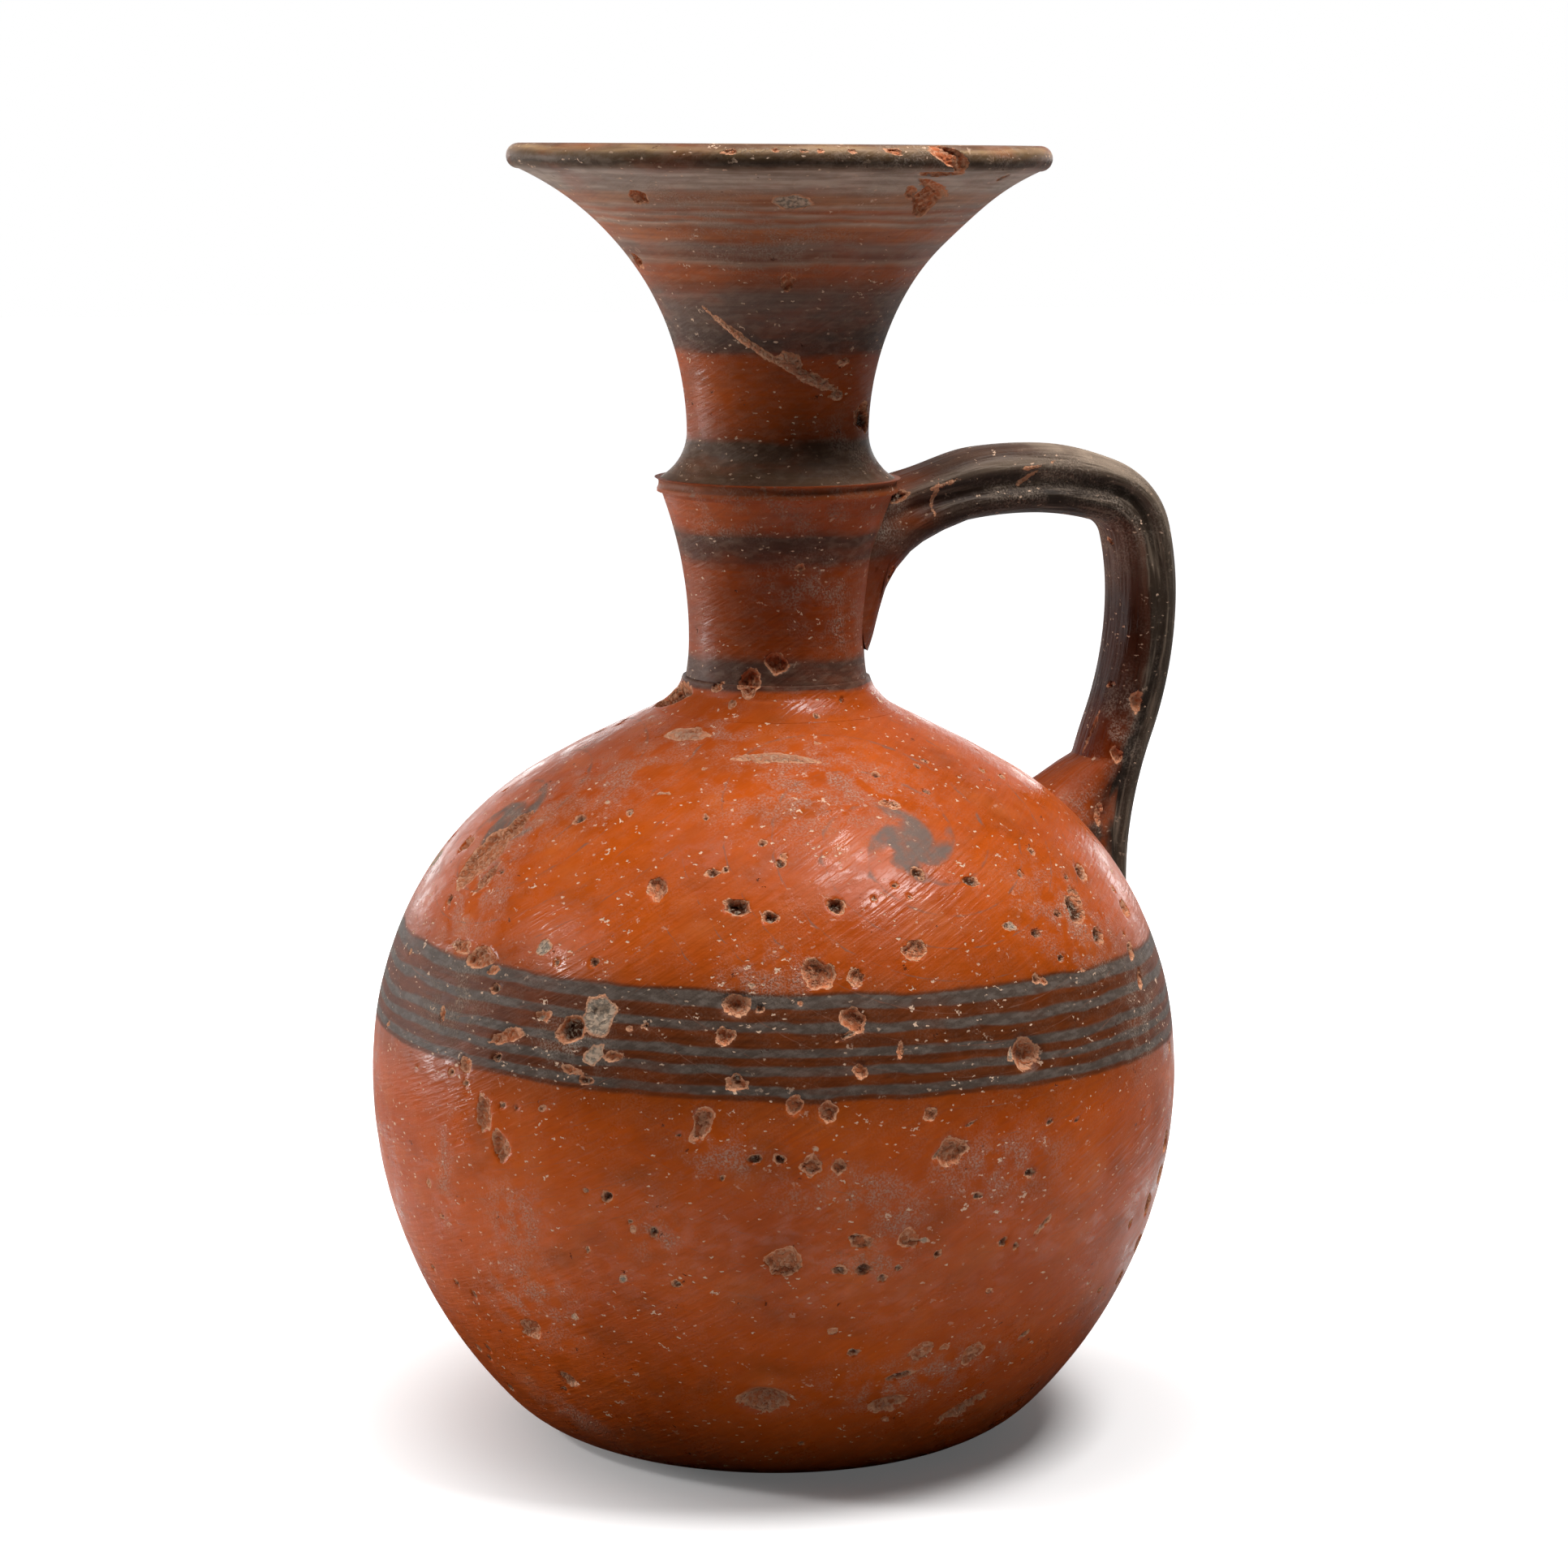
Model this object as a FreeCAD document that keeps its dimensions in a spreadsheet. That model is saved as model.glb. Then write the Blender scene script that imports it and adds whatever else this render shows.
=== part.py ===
import FreeCAD, Part
import math
import os
import Sketcher

# A wheel-thrown terracotta jug with a ridged neck, a funnel mouth and a strap handle.
# Millimetres, +Z up, origin at the centre of the base's underside, handle towards +X.

# Driving sizes
SIZES = {
    # Body: a globe on a small flat base, with a socket for the neck
    "belly_radius": 47.45,
    "belly_height": 42.5,
    "shoulder_rise": 44.2,
    "shoulder_slope": 18.2,
    "base_radius": 24.2,
    "base_edge_arc": 16.0,
    "base_edge_inset": 3.5,
    "body_wall": 3.8,
    "floor_thickness": 5.0,
    "floor_corner_arc": 13.0,
    "neck_seat_radius": 11.2,
    "socket_radius": 9.4,
    # Neck collar: the lower neck, flaring up to the ridge
    "neck_bore_radius": 7.6,
    "collar_height": 23.9,
    "collar_waist_height": 6.5,
    "collar_waist_radius": 10.34,
    "collar_top_radius": 13.6,
    "spigot_depth": 2.6,
    # Coil of clay that seals the neck to the shoulder
    "coil_spread": 3.1,
    "coil_height": 2.3,
    "coil_edge": 0.35,
    "coil_arc": 7.0,
    # Ridge: a ring round the joint of the two neck pieces
    "ridge_height": 1.6,
    "ridge_radius": 14.1,
    "ridge_undercut": 0.35,
    "ridge_groove_arc": 1.2,
    "ridge_bore_radius": 9.6,
    "recess_depth": 1.2,
    # Funnel mouth: the upper neck, the flare and the rounded lip
    "funnel_height": 38.2,
    "funnel_foot_radius": 13.7,
    "funnel_waist_height": 5.3,
    "funnel_waist_radius": 10.66,
    "lip_radius": 31.45,
    "lip_bead": 1.45,
    # Handle: a strap of rounded section, along a chain of tangent arcs
    "handle_width": 9.6,
    "handle_thickness": 7.4,
    "handle_edge_round": 3.0,
    "handle_neck_bite": 0.4,
    "handle_rise_arc": 52.0,
    "handle_top_drop": 1.25,
    "handle_top_reach": 31.5,
    "handle_crown_arc": 40.0,
    "handle_corner_arc": 6.5,
    "handle_back_arc": 34.0,
    "handle_overhang": 3.65,
    "handle_back_drop": 14.25,
    "handle_lower_arc": 45.0,
    "handle_foot_arc": 60.0,
    "handle_foot_inset": 5.45,
    "handle_foot_rise": 8.0,
    # Clay pressed under the handle's top, against the neck
    "top_luting_width": 8.4,
    "top_luting_round": 2.2,
    "top_luting_length": 13.06,
    "top_luting_arc": 9.9,
    "top_luting_knee_stand": 3.66,
    "top_luting_knee_drop": 10.1,
    "top_luting_toe_stand": 1.16,
    "top_luting_toe_drop": 17.6,
    # Clay pressed round the handle's foot, on the shoulder
    "foot_luting_width": 8.8,
    "foot_luting_round": 2.8,
    "foot_luting_height": 12.0,
    "foot_luting_arc": 20.0,
    "foot_luting_spread": 8.6,
}

doc = FreeCAD.newDocument("jug")
sheet = doc.addObject("Spreadsheet::Sheet", "sizes")
for row, (name, value) in enumerate(SIZES.items(), start=1):
    sheet.set("A%d" % row, name)
    sheet.set("B%d" % row, str(value))
    sheet.setAlias("B%d" % row, name)
doc.recompute()


class Size:
    """A length that knows its number and the expression that gives it from the sheet."""

    def __init__(self, value, text):
        self.value = value
        self.text = text

    def __add__(self, other):
        return Size(self.value + other.value, "(%s + %s)" % (self.text, other.text))

    def __sub__(self, other):
        return Size(self.value - other.value, "(%s - %s)" % (self.text, other.text))

    def half(self):
        return Size(self.value / 2, "(%s / 2)" % self.text)


def size(name):
    return Size(SIZES[name], "sizes." + name)


def number(length):
    return length.value if isinstance(length, Size) else length


ON_AXIS = Size(0.0, "")
# Two points nearer than this are the same one
SAME_PLACE = 1e-6

# Levels and radii that several pieces share
seat_level = size("belly_height") + size("shoulder_rise")
collar_waist_level = seat_level + size("collar_waist_height")
ridge_level = seat_level + size("collar_height")
spigot_level = seat_level - size("spigot_depth")
recess_level = ridge_level - size("recess_depth")
ridge_top_level = ridge_level + size("ridge_height")
funnel_waist_level = ridge_top_level + size("funnel_waist_height")
rim_level = ridge_top_level + size("funnel_height")
bead_radius = size("lip_radius") - size("lip_bead")
bead_level = rim_level - size("lip_bead")
handle_top_level = ridge_top_level - size("handle_top_drop")
handle_back_level = handle_top_level - size("handle_back_drop")
handle_foot_level = size("belly_height") + size("handle_foot_rise")
handle_foot_reach = size("belly_radius") - size("handle_foot_inset")
handle_neck_reach = size("neck_bore_radius") + size("handle_neck_bite")
# The handle's outer face stands out past the belly by its overhang
handle_outer_reach = size("belly_radius") + size("handle_overhang")
handle_back_reach = handle_outer_reach - size("handle_thickness").half()


def origin_plane(body, role):
    for feature in body.Origin.OriginFeatures:
        if feature.Role == role:
            return feature
    raise RuntimeError("no plane " + role)


class Outline:
    """A chain of lines and arcs in a sketch. A point's Size is a driven dimension, a bare
    number is only where the solver starts, for a point that tangency places."""

    def __init__(self, body, name, role="XZ_Plane"):
        self.sketch = body.newObject("Sketcher::SketchObject", name)
        self.sketch.AttachmentSupport = (origin_plane(body, role), "")
        self.sketch.MapMode = "FlatFace"
        self.start = None
        self.point = None
        self.chain = []

    def constrain(self, *words):
        return self.sketch.addConstraint(Sketcher.Constraint(*words))

    def dimension(self, kind, length, *words):
        index = self.constrain(kind, *words, length.value)
        self.sketch.setExpression("Constraints[%d]" % index, length.text)

    def pin(self, geometry, end, point):
        """Dimension one end of a piece from the sketch's origin."""
        across, up = point
        if across is ON_AXIS:
            self.constrain("PointOnObject", geometry, end, -2)
        elif isinstance(across, Size):
            self.dimension("DistanceX", across, -1, 1, geometry, end)
        if up is ON_AXIS:
            self.constrain("PointOnObject", geometry, end, -1)
        elif isinstance(up, Size):
            self.dimension("DistanceY", up, -1, 1, geometry, end)

    def begin(self, across, up):
        self.start = (across, up)
        self.point = self.start

    def add(self, shape, head, tail, point, smooth):
        geometry = self.sketch.addGeometry(shape, False)
        if self.chain:
            before, before_tail = self.chain[-1][0], self.chain[-1][2]
            kind = "Tangent" if smooth else "Coincident"
            self.constrain(kind, before, before_tail, geometry, head)
        else:
            self.pin(geometry, head, self.start)
        if point is self.start:
            self.constrain("Coincident", geometry, tail, self.chain[0][0], self.chain[0][1])
        else:
            self.pin(geometry, tail, point)
        self.chain.append((geometry, head, tail))
        self.point = point
        return geometry

    def line(self, across, up, smooth=False):
        return self.line_to((across, up), smooth)

    def line_to(self, point, smooth=False):
        a = FreeCAD.Vector(number(self.point[0]), number(self.point[1]), 0)
        b = FreeCAD.Vector(number(point[0]), number(point[1]), 0)
        return self.add(Part.LineSegment(a, b), 1, 2, point, smooth)

    def close(self, smooth=False):
        return self.line_to(self.start, smooth)

    def arc(self, centre, across, up, turn, radius=None, level=None, plumb=None, smooth=False,
            middle=None):
        """An arc about centre. turn is 1 for anticlockwise. level and plumb name the end,
        head or tail, that stands beside or straight above or below the centre, and middle
        gives the centre's own dimensions."""
        x, y = centre
        a = (number(self.point[0]) - x, number(self.point[1]) - y)
        b = (number(across) - x, number(up) - y)
        angle_a = math.atan2(a[1], a[0])
        angle_b = math.atan2(b[1], b[0])
        first, last = (angle_a, angle_b) if turn > 0 else (angle_b, angle_a)
        if last < first:
            last += math.tau
        circle = Part.Circle(FreeCAD.Vector(x, y, 0), FreeCAD.Vector(0, 0, 1), math.hypot(*a))
        ends = {"head": 1, "tail": 2} if turn > 0 else {"head": 2, "tail": 1}
        shape = Part.ArcOfCircle(circle, first, last)
        geometry = self.add(shape, ends["head"], ends["tail"], (across, up), smooth)
        if radius is not None:
            self.dimension("Radius", radius, geometry)
        if level is not None:
            self.constrain("Horizontal", geometry, 3, geometry, ends[level])
        if plumb is not None:
            self.constrain("Vertical", geometry, 3, geometry, ends[plumb])
        if middle is not None:
            self.pin(geometry, 3, middle)
        return geometry


def level_centre(radius, level, waist_radius, waist_level):
    """Centre of the arc through a point that stands upright at the waist."""
    rise = level - waist_level
    reach = radius - waist_radius
    return (waist_radius + (rise * rise + reach * reach) / (reach + reach), waist_level)


def circles_meet(first, first_radius, second, second_radius, side):
    """Where two circles meet, to the left (side 1) or right (side -1) of first to second."""
    gap_x, gap_y = second[0] - first[0], second[1] - first[1]
    gap = math.hypot(gap_x, gap_y)
    along = (gap * gap + first_radius * first_radius - second_radius * second_radius) / (gap + gap)
    across = side * math.sqrt(first_radius * first_radius - along * along)
    x = first[0] + (gap_x * along - gap_y * across) / gap
    y = first[1] + (gap_y * along + gap_x * across) / gap
    return (x, y)


def toward(start, end, reach):
    """The point at a given reach from start, on the way to end."""
    gap = math.hypot(end[0] - start[0], end[1] - start[1])
    share = reach / gap
    return (start[0] + (end[0] - start[0]) * share, start[1] + (end[1] - start[1]) * share)


def shoulder():
    """The shoulder's arc, upright at the belly: its centre, its radius, and the angle at
    which the straight slope up to the neck leaves it."""
    belly = size("belly_radius").value
    height = size("belly_height").value
    inset = belly - size("neck_seat_radius").value
    rise = size("shoulder_rise").value
    slope = size("shoulder_slope").value
    arc = (inset * inset + rise * rise - slope * slope) / (inset + inset)
    centre = (belly - arc, height)
    lean = math.atan2(rise, arc - inset) - math.atan2(slope, arc)
    return centre, arc, lean


def globe_outside(outline):
    """The body's outside, from the centre of the base up to the edge of the neck's seat."""
    belly = size("belly_radius")
    height = size("belly_height")
    base = size("base_radius")
    edge = size("base_edge_arc")
    edge_across = base - size("base_edge_inset")
    edge_level = math.sqrt(edge.value ** 2 - size("base_edge_inset").value ** 2)
    inset = edge_across.value - belly.value
    rise = height.value - edge_level
    spread = edge.value * edge.value - inset * inset - rise * rise
    lower_arc = spread / (2 * (inset + edge.value))
    lower_centre = (belly.value - lower_arc, height.value)
    upper_centre, shoulder_arc, lean = shoulder()
    edge_centre = (edge_across.value, edge_level)
    join = toward(lower_centre, edge_centre, lower_arc)
    leave_x = upper_centre[0] + shoulder_arc * math.cos(lean)
    leave_y = upper_centre[1] + shoulder_arc * math.sin(lean)
    outline.begin(ON_AXIS, ON_AXIS)
    outline.line(base, ON_AXIS)
    outline.arc(edge_centre, *join, turn=1, radius=edge, middle=(edge_across, edge_level))
    lower = outline.arc(lower_centre, belly, height, turn=1, level="tail", smooth=True)
    upper = outline.arc(upper_centre, leave_x, leave_y, turn=1, smooth=True)
    slope = outline.line(size("neck_seat_radius"), seat_level, smooth=True)
    outline.dimension("Distance", size("shoulder_slope"), slope)
    return lower, upper, slope, lower_centre


def body_section(outline):
    lower, upper, slope, lower_centre = globe_outside(outline)
    upper_centre, _, lean = shoulder()
    wall = size("body_wall")
    belly = size("belly_radius") - wall
    height = size("belly_height")
    floor = size("floor_thickness")
    corner = size("floor_corner_arc")
    socket = size("socket_radius")
    lower_arc = belly.value - lower_centre[0]
    upper_arc = belly.value - upper_centre[0]
    leave_x = upper_centre[0] + upper_arc * math.cos(lean)
    leave_y = upper_centre[1] + upper_arc * math.sin(lean)
    under_socket = leave_y + (leave_x - socket.value) * math.cos(lean) / math.sin(lean)
    corner_level = floor.value + corner.value
    reach = lower_arc - corner.value
    corner_x = lower_centre[0] + math.sqrt(reach * reach - (height.value - corner_level) ** 2)
    corner_centre = (corner_x, corner_level)
    join = toward(lower_centre, corner_centre, lower_arc)
    outline.line(socket, seat_level)
    outline.line(socket, under_socket)
    inner_slope = outline.line(leave_x, leave_y)
    outline.constrain("Parallel", slope, inner_slope)
    inner_upper = outline.arc(upper_centre, belly, height, turn=-1, smooth=True)
    outline.constrain("Coincident", inner_upper, 3, upper, 3)
    inner_lower = outline.arc(lower_centre, *join, turn=-1)
    outline.constrain("Coincident", inner_lower, 3, lower, 3)
    outline.arc(corner_centre, corner_x, floor.value, turn=-1, radius=corner, smooth=True)
    floor_line = outline.line(ON_AXIS, floor, smooth=True)
    outline.constrain("Horizontal", floor_line)
    outline.close()


def collar_outside(outline):
    """The collar's outside, from the edge of its seat up to the ridge."""
    waist = size("collar_waist_radius")
    waist_point = (waist.value, collar_waist_level.value)
    foot = level_centre(size("neck_seat_radius").value, seat_level.value, *waist_point)
    flare = level_centre(size("collar_top_radius").value, ridge_level.value, *waist_point)
    outline.arc(foot, waist, collar_waist_level, turn=-1, level="tail")
    outline.arc(flare, size("collar_top_radius"), ridge_level, turn=-1, smooth=True)


def collar_section(outline):
    bore = size("neck_bore_radius")
    outline.begin(bore, spigot_level)
    outline.line(size("socket_radius"), spigot_level)
    outline.line(size("socket_radius"), seat_level)
    outline.line(size("neck_seat_radius"), seat_level)
    collar_outside(outline)
    outline.line(size("ridge_bore_radius"), ridge_level)
    outline.line(size("ridge_bore_radius"), recess_level)
    outline.line(bore, recess_level)
    outline.close()


def ridge_outside(outline):
    """The ridge's outside: a short undercut, then a shallow groove between two edges."""
    radius = size("ridge_radius")
    edge_level = ridge_level + size("ridge_undercut")
    groove = size("ridge_groove_arc")
    chord = (ridge_top_level.value - edge_level.value) / 2
    depth = math.sqrt(groove.value * groove.value - chord * chord)
    centre = (radius.value + depth, edge_level.value + chord)
    outline.line(radius, edge_level)
    outline.arc(centre, radius, ridge_top_level, turn=-1, radius=groove)


def ridge_section(outline):
    outline.begin(size("ridge_bore_radius"), ridge_level)
    outline.line(size("collar_top_radius"), ridge_level)
    ridge_outside(outline)
    outline.line(size("ridge_bore_radius"), ridge_top_level)
    outline.close()


def funnel_foot_outside(outline):
    """The funnel's foot, from the top of the ridge in to its waist."""
    waist = size("funnel_waist_radius")
    foot = size("funnel_foot_radius")
    centre = level_centre(foot.value, ridge_top_level.value, waist.value, funnel_waist_level.value)
    outline.arc(centre, waist, funnel_waist_level, turn=-1, level="tail")


def funnel_section(outline):
    bore = size("neck_bore_radius")
    bead = size("lip_bead")
    under_bead = bead_level - bead
    waist = (size("funnel_waist_radius").value, funnel_waist_level.value)
    flare = level_centre(bead_radius.value, under_bead.value, *waist)
    bead_centre = (bead_radius.value, bead_level.value)
    rise = bead_centre[1] - waist[1]
    hollow = bore.value + bead.value
    inner_x = (bead_centre[0] ** 2 + rise * rise - hollow * hollow) / (2 * (bead_centre[0] - hollow))
    inner_centre = (inner_x, waist[1])
    inside = toward(inner_centre, bead_centre, inner_x - bore.value)
    outline.begin(bore, recess_level)
    outline.line(size("ridge_bore_radius"), recess_level)
    outline.line(size("ridge_bore_radius"), ridge_top_level)
    outline.line(size("funnel_foot_radius"), ridge_top_level)
    funnel_foot_outside(outline)
    outline.arc(flare, bead_radius, under_bead, turn=-1, smooth=True)
    outline.arc(bead_centre, *inside, turn=1, radius=bead, plumb="head")
    outline.arc(inner_centre, bore, funnel_waist_level, turn=1, level="tail", smooth=True)
    outline.close()


def ghost_shoulder(outline):
    """Construction lines: the shoulder's arc as a circle, and the slope up to the neck."""
    centre, arc, lean = shoulder()
    sketch = outline.sketch
    belly = (size("belly_radius"), size("belly_height"))
    spot = sketch.addGeometry(Part.Point(FreeCAD.Vector(belly[0].value, belly[1].value, 0)), True)
    outline.pin(spot, 1, belly)
    shape = Part.Circle(FreeCAD.Vector(*centre, 0), FreeCAD.Vector(0, 0, 1), arc)
    circle = sketch.addGeometry(shape, True)
    outline.constrain("PointOnObject", spot, 1, circle)
    outline.dimension("DistanceY", size("belly_height"), -1, 1, circle, 3)
    seat = FreeCAD.Vector(size("neck_seat_radius").value, seat_level.value, 0)
    leave_x = centre[0] + arc * math.cos(lean)
    leave = FreeCAD.Vector(leave_x, centre[1] + arc * math.sin(lean), 0)
    slope = sketch.addGeometry(Part.LineSegment(seat, leave), True)
    outline.pin(slope, 1, (size("neck_seat_radius"), seat_level))
    outline.constrain("Tangent", slope, 2, circle)
    outline.dimension("Distance", size("shoulder_slope"), slope)
    return circle, slope


def coil_section(outline):
    """A three-sided ring in the corner between shoulder and neck, its face hollowed."""
    edge = size("coil_edge")
    seat = (size("neck_seat_radius").value, seat_level.value)
    waist = (size("collar_waist_radius").value, collar_waist_level.value)
    lean = shoulder()[2]
    reach = size("neck_seat_radius") + size("coil_spread")
    toe_level = seat[1] - (reach.value - seat[0]) * math.cos(lean) / math.sin(lean)
    collar = level_centre(*seat, *waist)
    top_level = seat_level + size("coil_height")
    drop = waist[1] - top_level.value
    collar_arc = collar[0] - waist[0]
    top_x = collar[0] - math.sqrt(collar_arc * collar_arc - drop * drop)
    low = (reach.value, toe_level + edge.value)
    high = (top_x + edge.value, top_level.value)
    arc = size("coil_arc")
    hollow = circles_meet(low, arc.value, high, arc.value, -1)
    outline.begin(size("neck_seat_radius"), seat_level)
    slope = outline.line(reach, toe_level)
    step = outline.line(reach, low[1])
    outline.arc(hollow, *high, turn=-1, radius=arc)
    land = outline.line(top_x, top_level)
    wall = outline.arc(collar, *seat, turn=1)
    outline.constrain("Coincident", wall, 2, slope, 1)
    outline.constrain("Horizontal", land)
    outline.dimension("Distance", edge, step)
    outline.dimension("Distance", edge, land)
    outline.dimension("DistanceY", collar_waist_level, -1, 1, wall, 3)
    # The collar's own waist and the shoulder's own slope place the two seats
    ghost_waist = outline.sketch.addGeometry(Part.Point(FreeCAD.Vector(*waist, 0)), True)
    outline.pin(ghost_waist, 1, (size("collar_waist_radius"), collar_waist_level))
    outline.constrain("PointOnObject", ghost_waist, 1, wall)
    ghost_slope = ghost_shoulder(outline)[1]
    outline.constrain("Parallel", ghost_slope, slope)


def revolve(body, outline, kind="PartDesign::Revolution"):
    feature = body.newObject(kind, kind.split("::")[1])
    feature.Profile = outline.sketch
    feature.ReferenceAxis = (outline.sketch, ["V_Axis"])
    feature.Angle = 360
    outline.sketch.Visibility = False
    return feature


def new_body(label):
    body = doc.addObject("PartDesign::Body", label)
    body.Label = label
    return body


def thrown(label, section):
    """A piece turned on the wheel: its section revolved about the jug's axis."""
    body = new_body(label)
    outline = Outline(body, label + "_section")
    section(outline)
    revolve(body, outline)
    return body


def handle_foot_turn():
    """Where the handle's lower run turns out to its foot: the centre of the arc above, its
    end, and the centre of the arc below."""
    lower = size("handle_lower_arc").value
    foot = size("handle_foot_arc").value
    lower_centre = (handle_back_reach.value - lower, handle_back_level.value)
    foot_point = (handle_foot_reach.value, handle_foot_level.value)
    foot_centre = circles_meet(lower_centre, lower + foot, foot_point, foot, 1)
    return lower_centre, toward(lower_centre, foot_centre, lower), foot_centre


def handle_spines(body):
    """The handle's centre line, in two chains that both start at its highest point."""
    top = (size("handle_top_reach"), handle_top_level)
    rise = size("handle_rise_arc")
    neck = handle_neck_reach
    rise_centre = (top[0].value, top[1].value - rise.value)
    swing = top[0].value - neck.value
    neck_level = rise_centre[1] + math.sqrt(rise.value * rise.value - swing * swing)
    inward = Outline(body, body.Label + "_spine_in")
    inward.begin(*top)
    inward.arc(rise_centre, neck, neck_level, turn=1, radius=rise, plumb="head")

    crown = size("handle_crown_arc")
    corner = size("handle_corner_arc")
    back = size("handle_back_arc")
    lower = size("handle_lower_arc")
    foot = size("handle_foot_arc")
    back_point = (handle_back_reach, handle_back_level)
    crown_centre = (top[0].value, top[1].value - crown.value)
    back_centre = (back_point[0].value - back.value, back_point[1].value)
    crown_reach = crown.value - corner.value
    back_reach = back.value - corner.value
    corner_centre = circles_meet(crown_centre, crown_reach, back_centre, back_reach, -1)
    lower_centre, lower_end, foot_centre = handle_foot_turn()
    crown_end = toward(crown_centre, corner_centre, crown.value)
    corner_end = toward(back_centre, corner_centre, back.value)
    outward = Outline(body, body.Label + "_spine_out")
    outward.begin(*top)
    outward.arc(crown_centre, *crown_end, turn=-1, radius=crown, plumb="head")
    outward.arc(corner_centre, *corner_end, turn=-1, radius=corner, smooth=True)
    outward.arc(back_centre, *back_point, turn=-1, radius=back, level="tail", smooth=True)
    outward.arc(lower_centre, *lower_end, turn=-1, radius=lower, smooth=True)
    outward.arc(foot_centre, handle_foot_reach, handle_foot_level, turn=1, radius=foot, smooth=True)
    return inward, outward


def handle_profile(body):
    """The handle's section where its centre line is level: a rectangle with round edges."""
    profile = Outline(body, body.Label + "_profile", "YZ_Plane")
    profile.sketch.setExpression("AttachmentOffset.Base.z", size("handle_top_reach").text)
    side = size("handle_width").half()
    edge = size("handle_edge_round")
    low = handle_top_level - size("handle_thickness").half()
    high = handle_top_level + size("handle_thickness").half()
    sketch = profile.sketch
    flat = (side - edge).value
    rows = [(low, low + edge), (high, high - edge)]
    corners = []
    for sign in (-1, 1):
        for outer, inner in rows:
            corners.append((sign, outer, inner))
    arcs = {}
    for sign, outer, inner in corners:
        centre = FreeCAD.Vector(sign * flat, inner.value, 0)
        circle = Part.Circle(centre, FreeCAD.Vector(0, 0, 1), edge.value)
        beside = 0.0 if sign > 0 else math.pi
        beyond = math.pi / 2 if outer is high else -math.pi / 2
        if sign < 0 and beyond < 0:
            beyond += math.tau
        first, last = min(beside, beyond), max(beside, beyond)
        arc = sketch.addGeometry(Part.ArcOfCircle(circle, first, last), False)
        side_end = 1 if first == beside else 2
        arcs[(sign, outer is high)] = (arc, side_end, 3 - side_end)
    lines = []
    for sign in (-1, 1):
        below, above = arcs[(sign, False)], arcs[(sign, True)]
        lines.append((below[0], below[1], above[0], above[1]))
    for top in (False, True):
        left, right = arcs[(-1, top)], arcs[(1, top)]
        lines.append((left[0], left[2], right[0], right[2]))
    for first, first_end, second, second_end in lines:
        a = sketch.getPoint(first, first_end)
        b = sketch.getPoint(second, second_end)
        line = sketch.addGeometry(Part.LineSegment(a, b), False)
        profile.constrain("Tangent", first, first_end, line, 1)
        profile.constrain("Tangent", line, 2, second, second_end)
        kind = "Vertical" if abs(a.x - b.x) < abs(a.y - b.y) else "Horizontal"
        profile.constrain(kind, line)
    base = arcs[(-1, False)][0]
    for arc, _, _ in list(arcs.values())[1:]:
        profile.constrain("Equal", base, arc)
    profile.dimension("Radius", edge, base)
    right_low, right_high = arcs[(1, False)], arcs[(1, True)]
    left_low = arcs[(-1, False)]
    profile.dimension("DistanceX", side, left_low[0], left_low[1], -1, 1)
    profile.dimension("DistanceX", side, -1, 1, right_low[0], right_low[1])
    profile.dimension("DistanceY", low, -1, 1, right_low[0], right_low[2])
    profile.dimension("DistanceY", high, -1, 1, right_high[0], right_high[2])
    return profile


def sweep_handle(body, kind):
    """Sweep the section along both chains, to add the strap or to cut its seat."""
    spines = handle_spines(body)
    profile = handle_profile(body)
    doc.recompute()
    for spine in spines:
        pipe = body.newObject(kind, kind.split("::")[1])
        pipe.Profile = profile.sketch
        pipe.Spine = (spine.sketch, ["Edge%d" % (edge + 1) for edge in range(len(spine.chain))])
        spine.sketch.Visibility = False
    profile.sketch.Visibility = False


def cut_neck(body):
    """Take away what lies inside the neck, so that the piece seats on its outside."""
    outline = Outline(body, body.Label + "_neck_seat")
    outline.begin(ON_AXIS, seat_level)
    outline.line(size("neck_seat_radius"), seat_level)
    collar_outside(outline)
    ridge_outside(outline)
    outline.line(size("funnel_foot_radius"), ridge_top_level)
    funnel_foot_outside(outline)
    outline.line(ON_AXIS, funnel_waist_level)
    outline.close()
    return revolve(body, outline, "PartDesign::Groove")


def cut_globe(body):
    """Take away what lies inside the body, so that the piece seats on the shoulder."""
    outline = Outline(body, body.Label + "_shoulder_seat")
    globe_outside(outline)
    outline.line(ON_AXIS, seat_level)
    outline.close()
    return revolve(body, outline, "PartDesign::Groove")


def free_middles(outline, geometries, width):
    """The middles of the outline's free edges, on both faces of its slab. The other edges
    lie inside the neck, the shoulder or the handle."""
    middles = []
    for geometry in geometries:
        curve = outline.sketch.Geometry[geometry]
        middle = curve.value((curve.FirstParameter + curve.LastParameter) / 2)
        for side in (-1, 1):
            middles.append(FreeCAD.Vector(middle.x, side * width.value / 2, middle.y))
    return middles


def slab(body, outline, width, edge_round, middles):
    """A slab of clay on both sides of the handle's plane, its free edges rounded."""
    pad = body.newObject("PartDesign::Pad", "Pad")
    pad.Profile = outline.sketch
    pad.SideType = "Symmetric"
    pad.setExpression("Length", width.text)
    doc.recompute()
    outline.sketch.Visibility = False
    names = []
    for index, edge in enumerate(pad.Shape.Edges, start=1):
        middle = edge.valueAt((edge.FirstParameter + edge.LastParameter) / 2)
        if any((middle - spot).Length < SAME_PLACE for spot in middles):
            names.append("Edge%d" % index)
    if len(names) != len(middles):
        raise RuntimeError("free edges not found: " + body.Label)
    fillet = body.newObject("PartDesign::Fillet", "Fillet")
    fillet.Base = (pad, names)
    fillet.setExpression("Radius", edge_round.text)
    return fillet


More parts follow.
